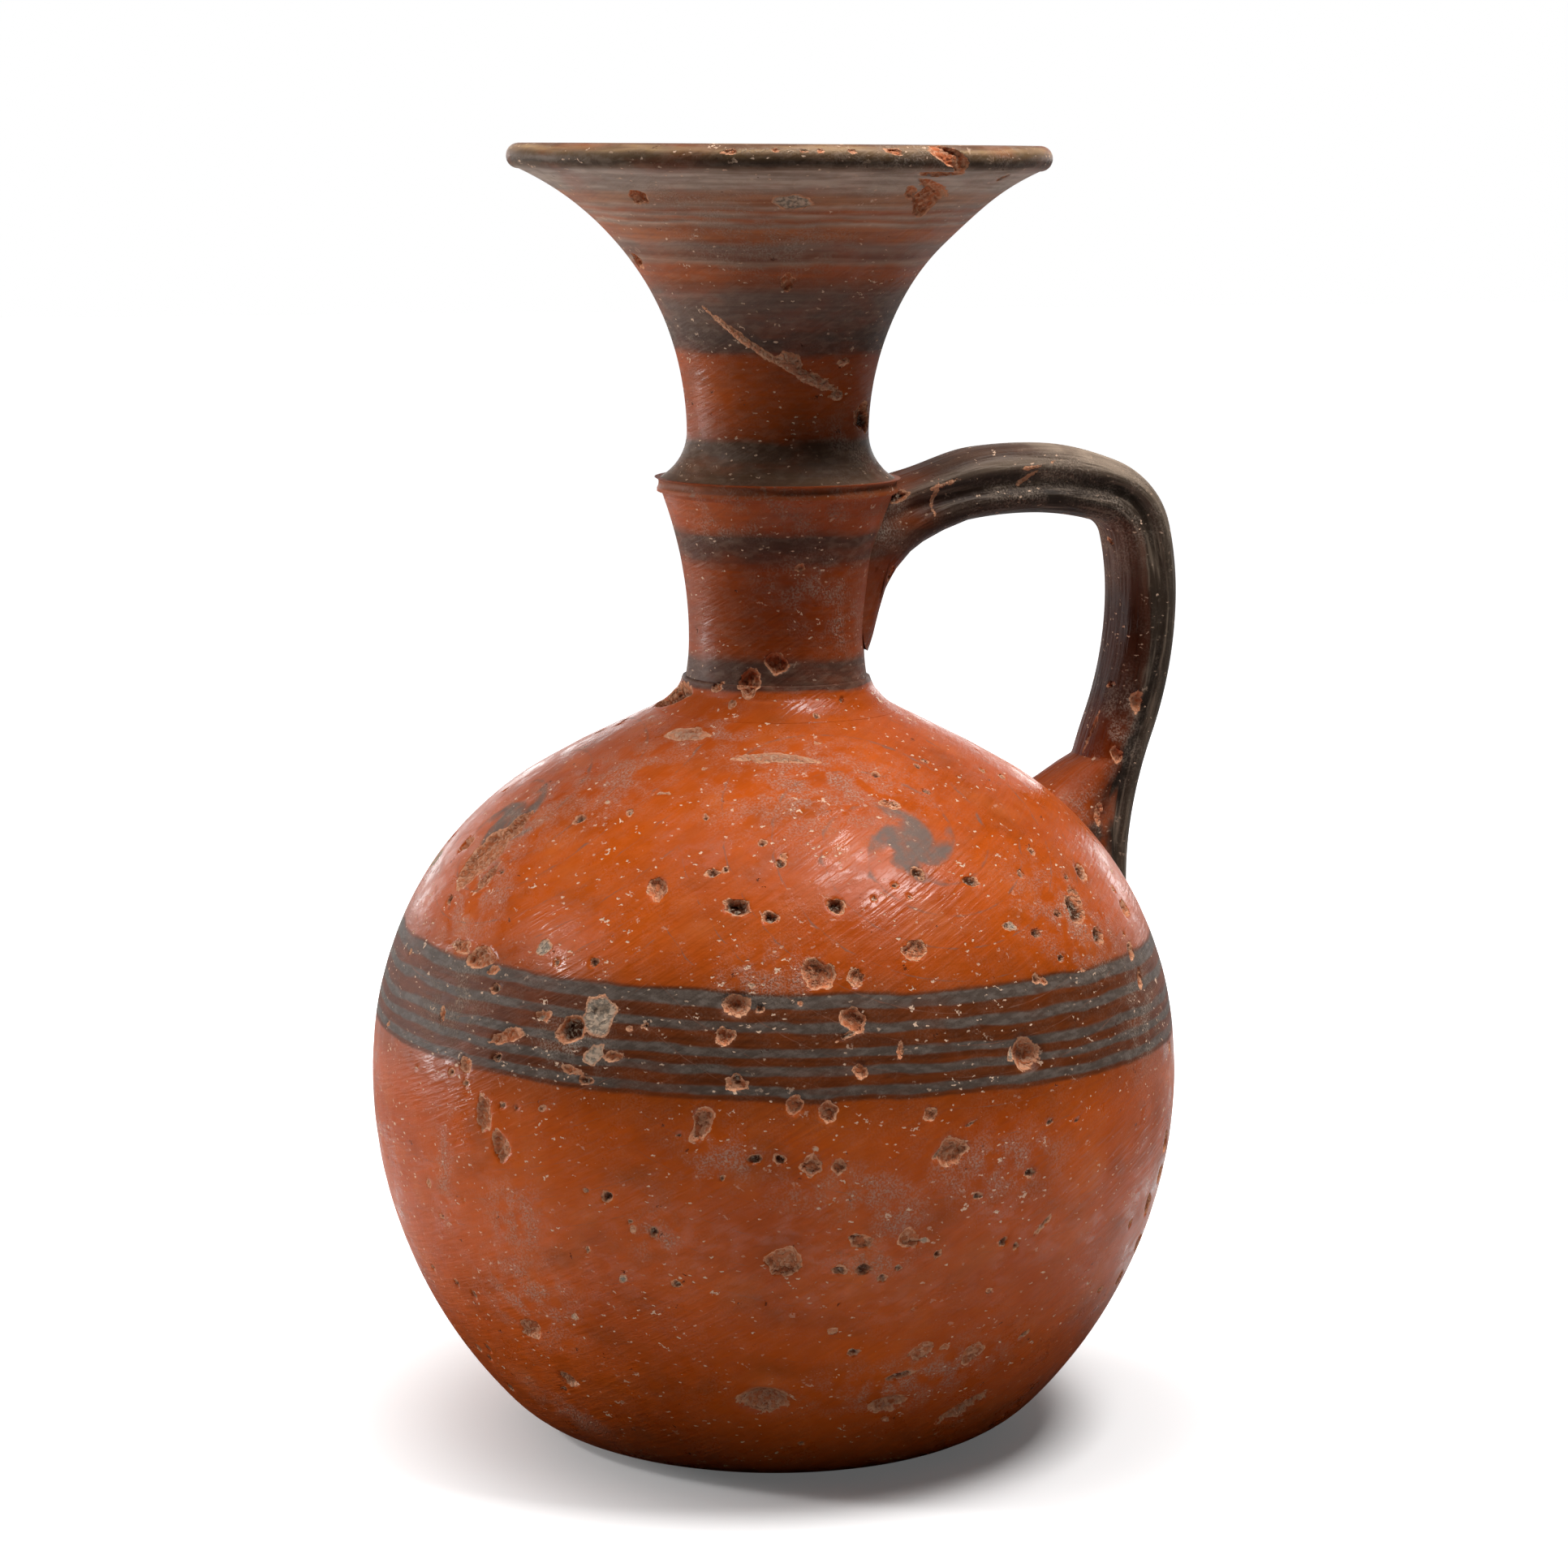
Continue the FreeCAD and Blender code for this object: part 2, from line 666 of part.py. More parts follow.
def top_luting():
    """The wedge of clay under the handle's top, with a small step at its toe."""
    body = new_body("handle_top_luting")
    outline = Outline(body, "handle_top_luting_side")
    width = size("top_luting_width")
    waist = size("collar_waist_radius")
    knee = (waist + size("top_luting_knee_stand"), ridge_level - size("top_luting_knee_drop"))
    toe = (waist + size("top_luting_toe_stand"), ridge_level - size("top_luting_toe_drop"))
    reach = waist + size("top_luting_length")
    arc = size("top_luting_arc")
    swing = reach.value - knee[0].value
    centre = (reach.value, knee[1].value - math.sqrt(arc.value * arc.value - swing * swing))
    crest = centre[1] + arc.value
    inner = size("neck_bore_radius")
    rise = size("handle_rise_arc")
    top = size("handle_top_reach")
    middle = (top, handle_top_level - rise)
    rise_centre = (middle[0].value, middle[1].value)
    back_level, neck_level = [
        rise_centre[1] + math.sqrt(rise.value ** 2 - (top.value - x.value) ** 2)
        for x in (reach, inner)
    ]
    outline.begin(inner, toe[1])
    outline.line(*toe)
    knee_line = outline.line(*knee)
    hollow = outline.arc(centre, reach, crest, turn=-1, radius=arc, plumb="tail")
    outline.line(reach, back_level)
    outline.arc(rise_centre, inner, neck_level, turn=1, radius=rise, middle=middle)
    outline.close()
    doc.recompute()
    middles = free_middles(outline, [knee_line, hollow], width)
    slab(body, outline, width, size("top_luting_round"), middles)
    cut_neck(body)
    sweep_handle(body, "PartDesign::SubtractivePipe")
    return body


def foot_luting():
    """The clay that spreads from the handle's foot onto the shoulder. Its back follows the
    handle's centre line, and its toe lies on the shoulder's arc."""
    body = new_body("handle_foot_luting")
    outline = Outline(body, "handle_foot_luting_side")
    width = size("foot_luting_width")
    toe_reach = handle_foot_reach - size("foot_luting_spread")
    shoulder_centre, shoulder_arc, _ = shoulder()
    swing = toe_reach.value - shoulder_centre[0]
    toe_level = shoulder_centre[1] + math.sqrt(shoulder_arc * shoulder_arc - swing * swing)
    height = size("foot_luting_height")
    lower = size("handle_lower_arc")
    lower_middle = (handle_back_reach - lower, handle_back_level)
    lower_centre, lower_end, foot_centre = handle_foot_turn()
    drop = toe_level + height.value - lower_centre[1]
    crest_reach = lower_centre[0] + math.sqrt(lower.value ** 2 - drop * drop)
    crest = (crest_reach, toe_level + height.value)
    arc = size("foot_luting_arc")
    centre = circles_meet((toe_reach.value, toe_level), arc.value, crest, arc.value, 1)
    outline.begin(toe_reach, handle_foot_level)
    outline.line(toe_reach, toe_level)
    toe = len(outline.chain) - 1
    hollow = outline.arc(centre, *crest, turn=1, radius=arc)
    outline.arc(lower_centre, *lower_end, turn=-1, radius=lower, middle=lower_middle)
    foot = size("handle_foot_arc")
    outline.arc(foot_centre, handle_foot_reach, handle_foot_level, turn=1, radius=foot, smooth=True)
    outline.close()
    upright, toe_end = outline.chain[toe][0], outline.chain[toe][2]
    circle = ghost_shoulder(outline)[0]
    outline.constrain("PointOnObject", upright, toe_end, circle)
    back, crest_end = outline.chain[toe + 2][0], outline.chain[toe + 2][1]
    outline.dimension("DistanceY", height, upright, toe_end, back, crest_end)
    doc.recompute()
    slab(body, outline, width, size("foot_luting_round"), free_middles(outline, [hollow], width))
    cut_globe(body)
    sweep_handle(body, "PartDesign::SubtractivePipe")
    return body


def handle():
    body = new_body("handle")
    sweep_handle(body, "PartDesign::AdditivePipe")
    cut_neck(body)
    cut_globe(body)
    return body


pieces = [
    thrown("body", body_section),
    thrown("neck_collar", collar_section),
    thrown("neck_foot_coil", coil_section),
    thrown("neck_ridge", ridge_section),
    thrown("funnel_mouth", funnel_section),
    handle(),
    top_luting(),
    foot_luting(),
]
doc.recompute()

for item in doc.Objects:
    if "Invalid" in item.State or "Error" in item.State:
        raise RuntimeError("failed: %s %s" % (item.Name, item.State))
    if item.isDerivedFrom("Sketcher::SketchObject") and not item.FullyConstrained:
        raise RuntimeError("loose outline: " + item.Name)
    if item.TypeId == "PartDesign::Groove" and item.Shape.Volume >= item.BaseFeature.Shape.Volume:
        raise RuntimeError("cuts nothing: " + item.Name)
os.makedirs("parts", exist_ok=True)
for piece in pieces:
    shape = piece.Shape
    if shape.isNull() or not shape.isValid() or len(shape.Solids) != 1:
        raise RuntimeError("bad shape: " + piece.Label)
    shape.exportStep("parts/%s.step" % piece.Label)
    print("%s: %.1f mm3" % (piece.Label, shape.Volume))
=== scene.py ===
import math
import random

import bpy
import numpy as np
from mathutils import Euler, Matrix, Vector, noise


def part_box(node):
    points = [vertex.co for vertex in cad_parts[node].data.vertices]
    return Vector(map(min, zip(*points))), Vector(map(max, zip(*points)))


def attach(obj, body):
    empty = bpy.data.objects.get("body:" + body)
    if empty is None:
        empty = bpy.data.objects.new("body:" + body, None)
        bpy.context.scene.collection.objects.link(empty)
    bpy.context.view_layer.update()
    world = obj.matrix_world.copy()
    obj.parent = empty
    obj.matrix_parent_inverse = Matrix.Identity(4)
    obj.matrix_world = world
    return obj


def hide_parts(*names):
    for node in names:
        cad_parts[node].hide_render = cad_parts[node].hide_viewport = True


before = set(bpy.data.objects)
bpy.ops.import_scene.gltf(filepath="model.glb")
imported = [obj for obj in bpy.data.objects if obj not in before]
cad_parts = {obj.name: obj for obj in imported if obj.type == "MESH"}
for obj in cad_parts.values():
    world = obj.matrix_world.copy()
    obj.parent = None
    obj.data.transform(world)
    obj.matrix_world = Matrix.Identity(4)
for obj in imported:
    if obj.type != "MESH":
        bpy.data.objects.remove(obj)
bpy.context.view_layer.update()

# A wheel-thrown terracotta jug: burnished orange-red slip, matt dark bands, worn and pitted.
# Metres, +Z up, origin at the middle of the base, handle towards +X.
MM = 0.001

# The photograph's camera, worked out from the jug's outline in its 1932 pixel frame
PHOTO_PIXELS = 1932
FOCAL_PIXELS = 5200
VIEW_AZIMUTH = math.radians(-22)
VIEW_TILT = math.radians(8.725)
VIEW_YAW = math.radians(0.117)
VIEW_ROLL = math.radians(0.37)
VIEW_DISTANCE = 490 * MM
EYE_HEIGHT = 151.3 * MM
SENSOR = 36.0

# Sizes of the thrown pieces, in millimetres, as the model has them
BELLY_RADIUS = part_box("body")[1].x / MM
SEAT_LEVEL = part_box("body")[1].z / MM
RIDGE_LEVEL, RIDGE_TOP = [corner.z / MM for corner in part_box("neck_ridge")]
RIDGE_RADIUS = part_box("neck_ridge")[1].x / MM
SPIGOT_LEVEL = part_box("neck_collar")[0].z / MM
COLLAR_TOP_RADIUS = 13.6
RECESS_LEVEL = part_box("funnel_mouth")[0].z / MM
RIM_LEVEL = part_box("funnel_mouth")[1].z / MM
LIP_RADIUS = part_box("funnel_mouth")[1].x / MM
COIL_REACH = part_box("neck_foot_coil")[1].x / MM
COIL_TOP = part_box("neck_foot_coil")[1].z / MM
COIL_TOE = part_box("neck_foot_coil")[0].z / MM
BELLY_HEIGHT = 42.5
SHOULDER_SLOPE = 18.2
BASE_RADIUS = 24.2
BASE_EDGE_ARC = 16.0
BASE_EDGE_INSET = 3.5
BODY_WALL = 3.8
FLOOR = 5.0
FLOOR_ARC = 13.0
SEAT_RADIUS = 11.2
SOCKET_RADIUS = 9.4
BORE = 7.6
RIDGE_BORE = 9.6
COLLAR_WAIST = (10.34, 93.2)
COIL_EDGE = 0.35
COIL_FEATHER = 0.04
COIL_ARC = 7.0
RIDGE_UNDERCUT = 0.35
RIDGE_GROOVE_ARC = 1.2
FUNNEL_FOOT = 13.7
FUNNEL_WAIST = (10.66, 117.5)
LIP_BEAD = 1.45

# The handle's strap and the chain of arcs that it follows
HANDLE_HALF_WIDTH = 4.8
HANDLE_HALF_THICKNESS = 3.7
HANDLE_TOP = (31.5, 110.95)
HANDLE_BACK = (47.4, 96.7)
HANDLE_FOOT = (42.0, 50.5)
HANDLE_NECK_REACH = 9.3
RISE_ARC = 52.0
CROWN_ARC = 40.0
CORNER_ARC = 6.5
BACK_ARC = 34.0
LOWER_ARC = 45.0
FOOT_ARC = 60.0

# How fine the meshes are: steps round the axis, and millimetres along an outline
TURNS = 260
FINE = 0.45
OUTSIDE = 1.15
COARSE = 4.0


def meeting(first, first_radius, second, second_radius, side):
    """Where two circles meet, left (1) or right (-1) of the way from first to second."""
    gap_x, gap_y = second[0] - first[0], second[1] - first[1]
    gap = math.hypot(gap_x, gap_y)
    along = (gap * gap + first_radius ** 2 - second_radius ** 2) / (2 * gap)
    across = side * math.sqrt(first_radius ** 2 - along * along)
    return (
        first[0] + (gap_x * along - gap_y * across) / gap,
        first[1] + (gap_y * along + gap_x * across) / gap,
    )


def toward(start, end, reach):
    """The point at a given reach from start, on the way to end."""
    share = reach / math.hypot(end[0] - start[0], end[1] - start[1])
    return (start[0] + (end[0] - start[0]) * share, start[1] + (end[1] - start[1]) * share)


def level_centre(radius, level, waist_radius, waist_level):
    """Centre of the arc through a point that stands upright at the waist."""
    rise = level - waist_level
    reach = radius - waist_radius
    return (waist_radius + (rise * rise + reach * reach) / (2 * reach), waist_level)


class Outline:
    """A section of a thrown piece: points (radius, height) carried on by lines and arcs."""

    def __init__(self, radius, height):
        self.points = [(radius, height)]

    def line(self, radius, height, step=COARSE):
        start = self.points[-1]
        gap = math.hypot(radius - start[0], height - start[1])
        count = max(1, round(gap / step))
        for index in range(1, count + 1):
            self.points.append(toward_share(start, (radius, height), index / count))
        return self

    def arc(self, centre, radius, height, turn, step=COARSE):
        start = self.points[-1]
        size = math.hypot(start[0] - centre[0], start[1] - centre[1])
        first = math.atan2(start[1] - centre[1], start[0] - centre[0])
        last = math.atan2(height - centre[1], radius - centre[0])
        sweep = (last - first) * turn % math.tau
        count = max(2, round(size * sweep / step))
        for index in range(1, count):
            angle = first + turn * sweep * index / count
            self.points.append((centre[0] + size * math.cos(angle), centre[1] + size * math.sin(angle)))
        self.points.append((radius, height))
        return self


def toward_share(start, end, share):
    return (start[0] + (end[0] - start[0]) * share, start[1] + (end[1] - start[1]) * share)


# The globe's two arcs and the slope that leaves the upper one for the neck
base_edge_centre = (BASE_RADIUS - BASE_EDGE_INSET, math.sqrt(BASE_EDGE_ARC ** 2 - BASE_EDGE_INSET ** 2))
edge_inset = base_edge_centre[0] - BELLY_RADIUS
edge_rise = BELLY_HEIGHT - base_edge_centre[1]
LOWER_GLOBE_ARC = (BASE_EDGE_ARC ** 2 - edge_inset ** 2 - edge_rise ** 2) / (2 * (edge_inset + BASE_EDGE_ARC))
lower_globe = (BELLY_RADIUS - LOWER_GLOBE_ARC, BELLY_HEIGHT)
seat_inset = BELLY_RADIUS - SEAT_RADIUS
shoulder_rise = SEAT_LEVEL - BELLY_HEIGHT
SHOULDER_ARC = (seat_inset ** 2 + shoulder_rise ** 2 - SHOULDER_SLOPE ** 2) / (2 * seat_inset)
shoulder_centre = (BELLY_RADIUS - SHOULDER_ARC, BELLY_HEIGHT)
SHOULDER_LEAN = math.atan2(shoulder_rise, SHOULDER_ARC - seat_inset) - math.atan2(SHOULDER_SLOPE, SHOULDER_ARC)


def on_shoulder(radius):
    """The point of the shoulder's arc, or of its inner face, where the slope leaves it."""
    return (
        shoulder_centre[0] + radius * math.cos(SHOULDER_LEAN),
        shoulder_centre[1] + radius * math.sin(SHOULDER_LEAN),
    )


def body_outline():
    edge_join = toward(lower_globe, base_edge_centre, LOWER_GLOBE_ARC)
    outline = Outline(0, 0)
    outline.line(BASE_RADIUS, 0)
    outline.arc(base_edge_centre, *edge_join, 1, OUTSIDE)
    outline.arc(lower_globe, BELLY_RADIUS, BELLY_HEIGHT, 1, OUTSIDE)
    outline.arc(shoulder_centre, *on_shoulder(SHOULDER_ARC), 1, OUTSIDE)
    outline.line(SEAT_RADIUS, SEAT_LEVEL, OUTSIDE)
    inner_leave = on_shoulder(SHOULDER_ARC - BODY_WALL)
    run = (inner_leave[0] - SOCKET_RADIUS) / math.tan(SHOULDER_LEAN)
    outline.line(SOCKET_RADIUS, SEAT_LEVEL)
    outline.line(SOCKET_RADIUS, inner_leave[1] + run)
    outline.line(*inner_leave)
    outline.arc(shoulder_centre, BELLY_RADIUS - BODY_WALL, BELLY_HEIGHT, -1)
    inner_lower = LOWER_GLOBE_ARC - BODY_WALL
    corner_level = FLOOR + FLOOR_ARC
    drop = BELLY_HEIGHT - corner_level
    corner = (lower_globe[0] + math.sqrt((inner_lower - FLOOR_ARC) ** 2 - drop ** 2), corner_level)
    outline.arc(lower_globe, *toward(lower_globe, corner, inner_lower), -1)
    outline.arc(corner, corner[0], FLOOR, -1)
    outline.line(0, FLOOR)
    return outline.points


def collar_outline():
    outline = Outline(BORE, SPIGOT_LEVEL)
    outline.line(SOCKET_RADIUS, SPIGOT_LEVEL)
    outline.line(SOCKET_RADIUS, SEAT_LEVEL)
    outline.line(SEAT_RADIUS, SEAT_LEVEL)
    outline.arc(level_centre(SEAT_RADIUS, SEAT_LEVEL, *COLLAR_WAIST), *COLLAR_WAIST, -1, FINE)
    flare = level_centre(COLLAR_TOP_RADIUS, RIDGE_LEVEL, *COLLAR_WAIST)
    outline.arc(flare, COLLAR_TOP_RADIUS, RIDGE_LEVEL, -1, FINE)
    outline.line(RIDGE_BORE, RIDGE_LEVEL)
    outline.line(RIDGE_BORE, RECESS_LEVEL)
    outline.line(BORE, RECESS_LEVEL)
    outline.line(BORE, SPIGOT_LEVEL)
    return outline.points


def coil_outline():
    centre = level_centre(SEAT_RADIUS, SEAT_LEVEL, *COLLAR_WAIST)
    size = centre[0] - COLLAR_WAIST[0]
    top = centre[0] - math.sqrt(size * size - (COLLAR_WAIST[1] - COIL_TOP) ** 2)
    low = (COIL_REACH, COIL_TOE + COIL_FEATHER)
    high = (top + COIL_EDGE, COIL_TOP)
    outline = Outline(SEAT_RADIUS, SEAT_LEVEL)
    outline.line(COIL_REACH, COIL_TOE, FINE)
    outline.line(*low, COIL_FEATHER)
    outline.arc(meeting(low, COIL_ARC, high, COIL_ARC, -1), *high, -1, FINE)
    outline.line(top, COIL_TOP, FINE)
    outline.arc(centre, SEAT_RADIUS, SEAT_LEVEL, 1, FINE)
    return outline.points


def ridge_outline():
    edge = RIDGE_LEVEL + RIDGE_UNDERCUT
    chord = (RIDGE_TOP - edge) / 2
    centre = (RIDGE_RADIUS + math.sqrt(RIDGE_GROOVE_ARC ** 2 - chord * chord), edge + chord)
    outline = Outline(RIDGE_BORE, RIDGE_LEVEL)
    outline.line(RIDGE_RADIUS, RIDGE_LEVEL)
    outline.line(RIDGE_RADIUS, edge, RIDGE_UNDERCUT / 2)
    outline.arc(centre, RIDGE_RADIUS, RIDGE_TOP, -1, FINE / 3)
    outline.line(RIDGE_BORE, RIDGE_TOP)
    outline.line(RIDGE_BORE, RIDGE_LEVEL)
    return outline.points


def funnel_outline():
    under_bead = RIM_LEVEL - 2 * LIP_BEAD
    bead = (LIP_RADIUS - LIP_BEAD, RIM_LEVEL - LIP_BEAD)
    hollow = BORE + LIP_BEAD
    rise = bead[1] - FUNNEL_WAIST[1]
    inner_x = (bead[0] ** 2 + rise * rise - hollow * hollow) / (2 * (bead[0] - hollow))
    inner = (inner_x, FUNNEL_WAIST[1])
    outline = Outline(BORE, RECESS_LEVEL)
    outline.line(RIDGE_BORE, RECESS_LEVEL)
    outline.line(RIDGE_BORE, RIDGE_TOP)
    outline.line(FUNNEL_FOOT, RIDGE_TOP)
    foot = level_centre(FUNNEL_FOOT, RIDGE_TOP, *FUNNEL_WAIST)
    outline.arc(foot, *FUNNEL_WAIST, -1, FINE)
    outline.arc(level_centre(bead[0], under_bead, *FUNNEL_WAIST), bead[0], under_bead, -1, FINE)
    outline.arc(bead, *toward(inner, bead, inner_x - BORE), 1, FINE / 2)
    outline.arc(inner, BORE, FUNNEL_WAIST[1], 1, OUTSIDE)
    outline.line(BORE, RECESS_LEVEL)
    return outline.points


def new_mesh(name, count, points):
    """A ring of points in mesh form: a circle primitive whose points are moved to places."""
    bpy.ops.object.select_all(action="DESELECT")
    bpy.ops.mesh.primitive_circle_add(vertices=count, radius=BELLY_RADIUS * MM, location=(0, 0, 0))
    piece = bpy.context.object
    piece.name = name
    piece.data.name = name
    for vertex, place in zip(piece.data.vertices, points):
        vertex.co = Vector(place) * MM
    return piece


def throw(name, outline):
    """Turn an outline about the jug's axis into a closed piece."""
    on_axis = outline[0][0] == 0
    points = outline if on_axis else outline[:-1]
    piece = new_mesh(name, len(points), [(radius, 0, height) for radius, height in points])
    if on_axis:
        bpy.ops.object.mode_set(mode="EDIT")
        bpy.ops.mesh.select_mode(type="EDGE")
        bpy.ops.mesh.select_all(action="DESELECT")
        bpy.ops.object.mode_set(mode="OBJECT")
        for edge in piece.data.edges:
            edge.select = all(piece.data.vertices[end].co.x == 0 for end in edge.vertices)
        bpy.ops.object.mode_set(mode="EDIT")
        bpy.ops.mesh.delete(type="EDGE")
    else:
        bpy.ops.object.mode_set(mode="EDIT")
    bpy.ops.mesh.select_mode(type="VERT")
    bpy.ops.mesh.select_all(action="SELECT")
    bpy.ops.mesh.spin(steps=TURNS, angle=math.tau, center=(0, 0, 0), axis=(0, 0, 1))
    bpy.ops.mesh.select_all(action="SELECT")
    bpy.ops.mesh.remove_doubles(threshold=0.01 * MM)
    bpy.ops.mesh.normals_make_consistent(inside=False)
    bpy.ops.object.mode_set(mode="OBJECT")
    return piece


def handle_chain():
    """The arcs of the handle's centre line from the neck to the foot: centre, end, turn."""
    rise_centre = (HANDLE_TOP[0], HANDLE_TOP[1] - RISE_ARC)
    crown_centre = (HANDLE_TOP[0], HANDLE_TOP[1] - CROWN_ARC)
    back_centre = (HANDLE_BACK[0] - BACK_ARC, HANDLE_BACK[1])
    corner_centre = meeting(crown_centre, CROWN_ARC - CORNER_ARC, back_centre, BACK_ARC - CORNER_ARC, -1)
    lower_centre = (HANDLE_BACK[0] - LOWER_ARC, HANDLE_BACK[1])
    foot_centre = meeting(lower_centre, LOWER_ARC + FOOT_ARC, HANDLE_FOOT, FOOT_ARC, 1)
    swing = HANDLE_TOP[0] - HANDLE_NECK_REACH
    start = (HANDLE_NECK_REACH, rise_centre[1] + math.sqrt(RISE_ARC ** 2 - swing ** 2))
    arcs = [
        (rise_centre, HANDLE_TOP, 1),
        (crown_centre, toward(crown_centre, corner_centre, CROWN_ARC), 1),
        (corner_centre, toward(back_centre, corner_centre, BACK_ARC), 1),
        (back_centre, HANDLE_BACK, 1),
        (lower_centre, toward(lower_centre, foot_centre, LOWER_ARC), 1),
        (foot_centre, HANDLE_FOOT, -1),
    ]
    return start, arcs


def strap_section(count=64):
    """The strap's section as (across, outward) points: a rectangle gone soft at its edges."""
    points = []
    for index in range(count):
        angle = math.tau * index / count
        across, outward = math.cos(angle), math.sin(angle)
        fullness = (abs(across) ** 2.7 + abs(outward) ** 2.7) ** (-1 / 2.7)
        points.append((HANDLE_HALF_WIDTH * across * fullness, HANDLE_HALF_THICKNESS * outward * fullness))
    return points


def make_strap():
    """The strap: its section set square to the centre line, then spun along each arc."""
    start, arcs = handle_chain()
    centre = arcs[0][0]
    lean = math.atan2(start[1] - centre[1], start[0] - centre[0])
    places = [
        (start[0] + outward * math.cos(lean), across, start[1] + outward * math.sin(lean))
        for across, outward in strap_section()
    ]
    strap = new_mesh("clay_handle", len(places), places)
    bpy.ops.object.mode_set(mode="EDIT")
    bpy.ops.mesh.select_all(action="SELECT")
    point = start
    for centre, end, turn in arcs:
        first = math.atan2(point[1] - centre[1], point[0] - centre[0])
        last = math.atan2(end[1] - centre[1], end[0] - centre[0])
        sweep = (first - last) * turn % math.tau
        size = math.hypot(end[0] - centre[0], end[1] - centre[1])
        steps = max(8, round(size * sweep / FINE))
        pivot = (centre[0] * MM, 0, centre[1] * MM)
        bpy.ops.mesh.spin(steps=steps, angle=-sweep * turn, center=pivot, axis=(0, 1, 0))
        point = end
    bpy.ops.mesh.select_all(action="SELECT")
    bpy.ops.mesh.remove_doubles(threshold=0.01 * MM)
    bpy.ops.mesh.select_all(action="DESELECT")
    bpy.ops.mesh.select_non_manifold()
    bpy.ops.mesh.fill()
    bpy.ops.mesh.select_all(action="SELECT")
    bpy.ops.mesh.normals_make_consistent(inside=False)
    bpy.ops.object.mode_set(mode="OBJECT")
    return strap


def coordinates(piece):
    """The piece's points as an array, in millimetres."""
    places = np.zeros(len(piece.data.vertices) * 3)
    piece.data.vertices.foreach_get("co", places)
    return places.reshape(-1, 3) / MM


def move_points(piece, places):
    piece.data.vertices.foreach_set("co", (places * MM).ravel())
    piece.data.update()


def write_attribute(piece, name, values):
    made = piece.data.attributes.get(name) or piece.data.attributes.new(name, "FLOAT", "POINT")
    made.data.foreach_set("value", np.asarray(values, dtype=np.float32))


def strap_places(places):
    """Where points lie on the strap: along its centre line, across it, and outward from it."""
    start, arcs = handle_chain()
    along = np.zeros(len(places))
    outward = np.zeros(len(places))
    nearest = np.full(len(places), np.inf)
    travelled = 0.0
    point = start
    for centre, end, turn in arcs:
        size = math.hypot(end[0] - centre[0], end[1] - centre[1])
        first = math.atan2(point[1] - centre[1], point[0] - centre[0])
        last = math.atan2(end[1] - centre[1], end[0] - centre[0])
        sweep = (first - last) * turn % math.tau
        across_x, up = places[:, 0] - centre[0], places[:, 2] - centre[1]
        reach = np.hypot(across_x, up)
        swept = (first - np.arctan2(up, across_x)) * turn
        swept = (swept + math.pi) % math.tau - math.pi
        clamped = np.clip(swept, 0, sweep)
        angle = first - clamped * turn
        gap = np.hypot(across_x - size * np.cos(angle), up - size * np.sin(angle))
        closer = gap < nearest - 1e-6
        along = np.where(closer, travelled + clamped * size, along)
        outward = np.where(closer, (reach - size) * turn, outward)
        nearest = np.minimum(nearest, gap)
        travelled += size * sweep
        point = end
    return along, places[:, 1].copy(), outward


def smooth_share(values, low, high):
    share = np.clip((values - low) / (high - low), 0, 1)
    return share * share * (3 - 2 * share)


# The wedge under the handle's top and the clay at its foot, as the photograph shows them:
# the wedge's lowest point by its reach, and the foot clay's inner face by its height
WEDGE_REACHES = (10.6, 11.4, 12.2, 13.1, 14.2, 15.7, 17.4, 20.1, 24.3)
WEDGE_LEVELS = (91.2, 92.9, 95.9, 98.8, 101.0, 102.9, 104.1, 105.4, 106.9)
FOOT_LEVELS = (70.0, 72.9, 74.7, 75.8, 76.7, 77.2, 77.7, 79.0, 81.2, 84.3)
FOOT_REACHES = (27.0, 31.2, 34.4, 36.2, 37.8, 39.0, 40.0, 40.8, 41.5, 42.3)
WEDGE_SPREAD = math.radians(56)
BURIED = 1.2


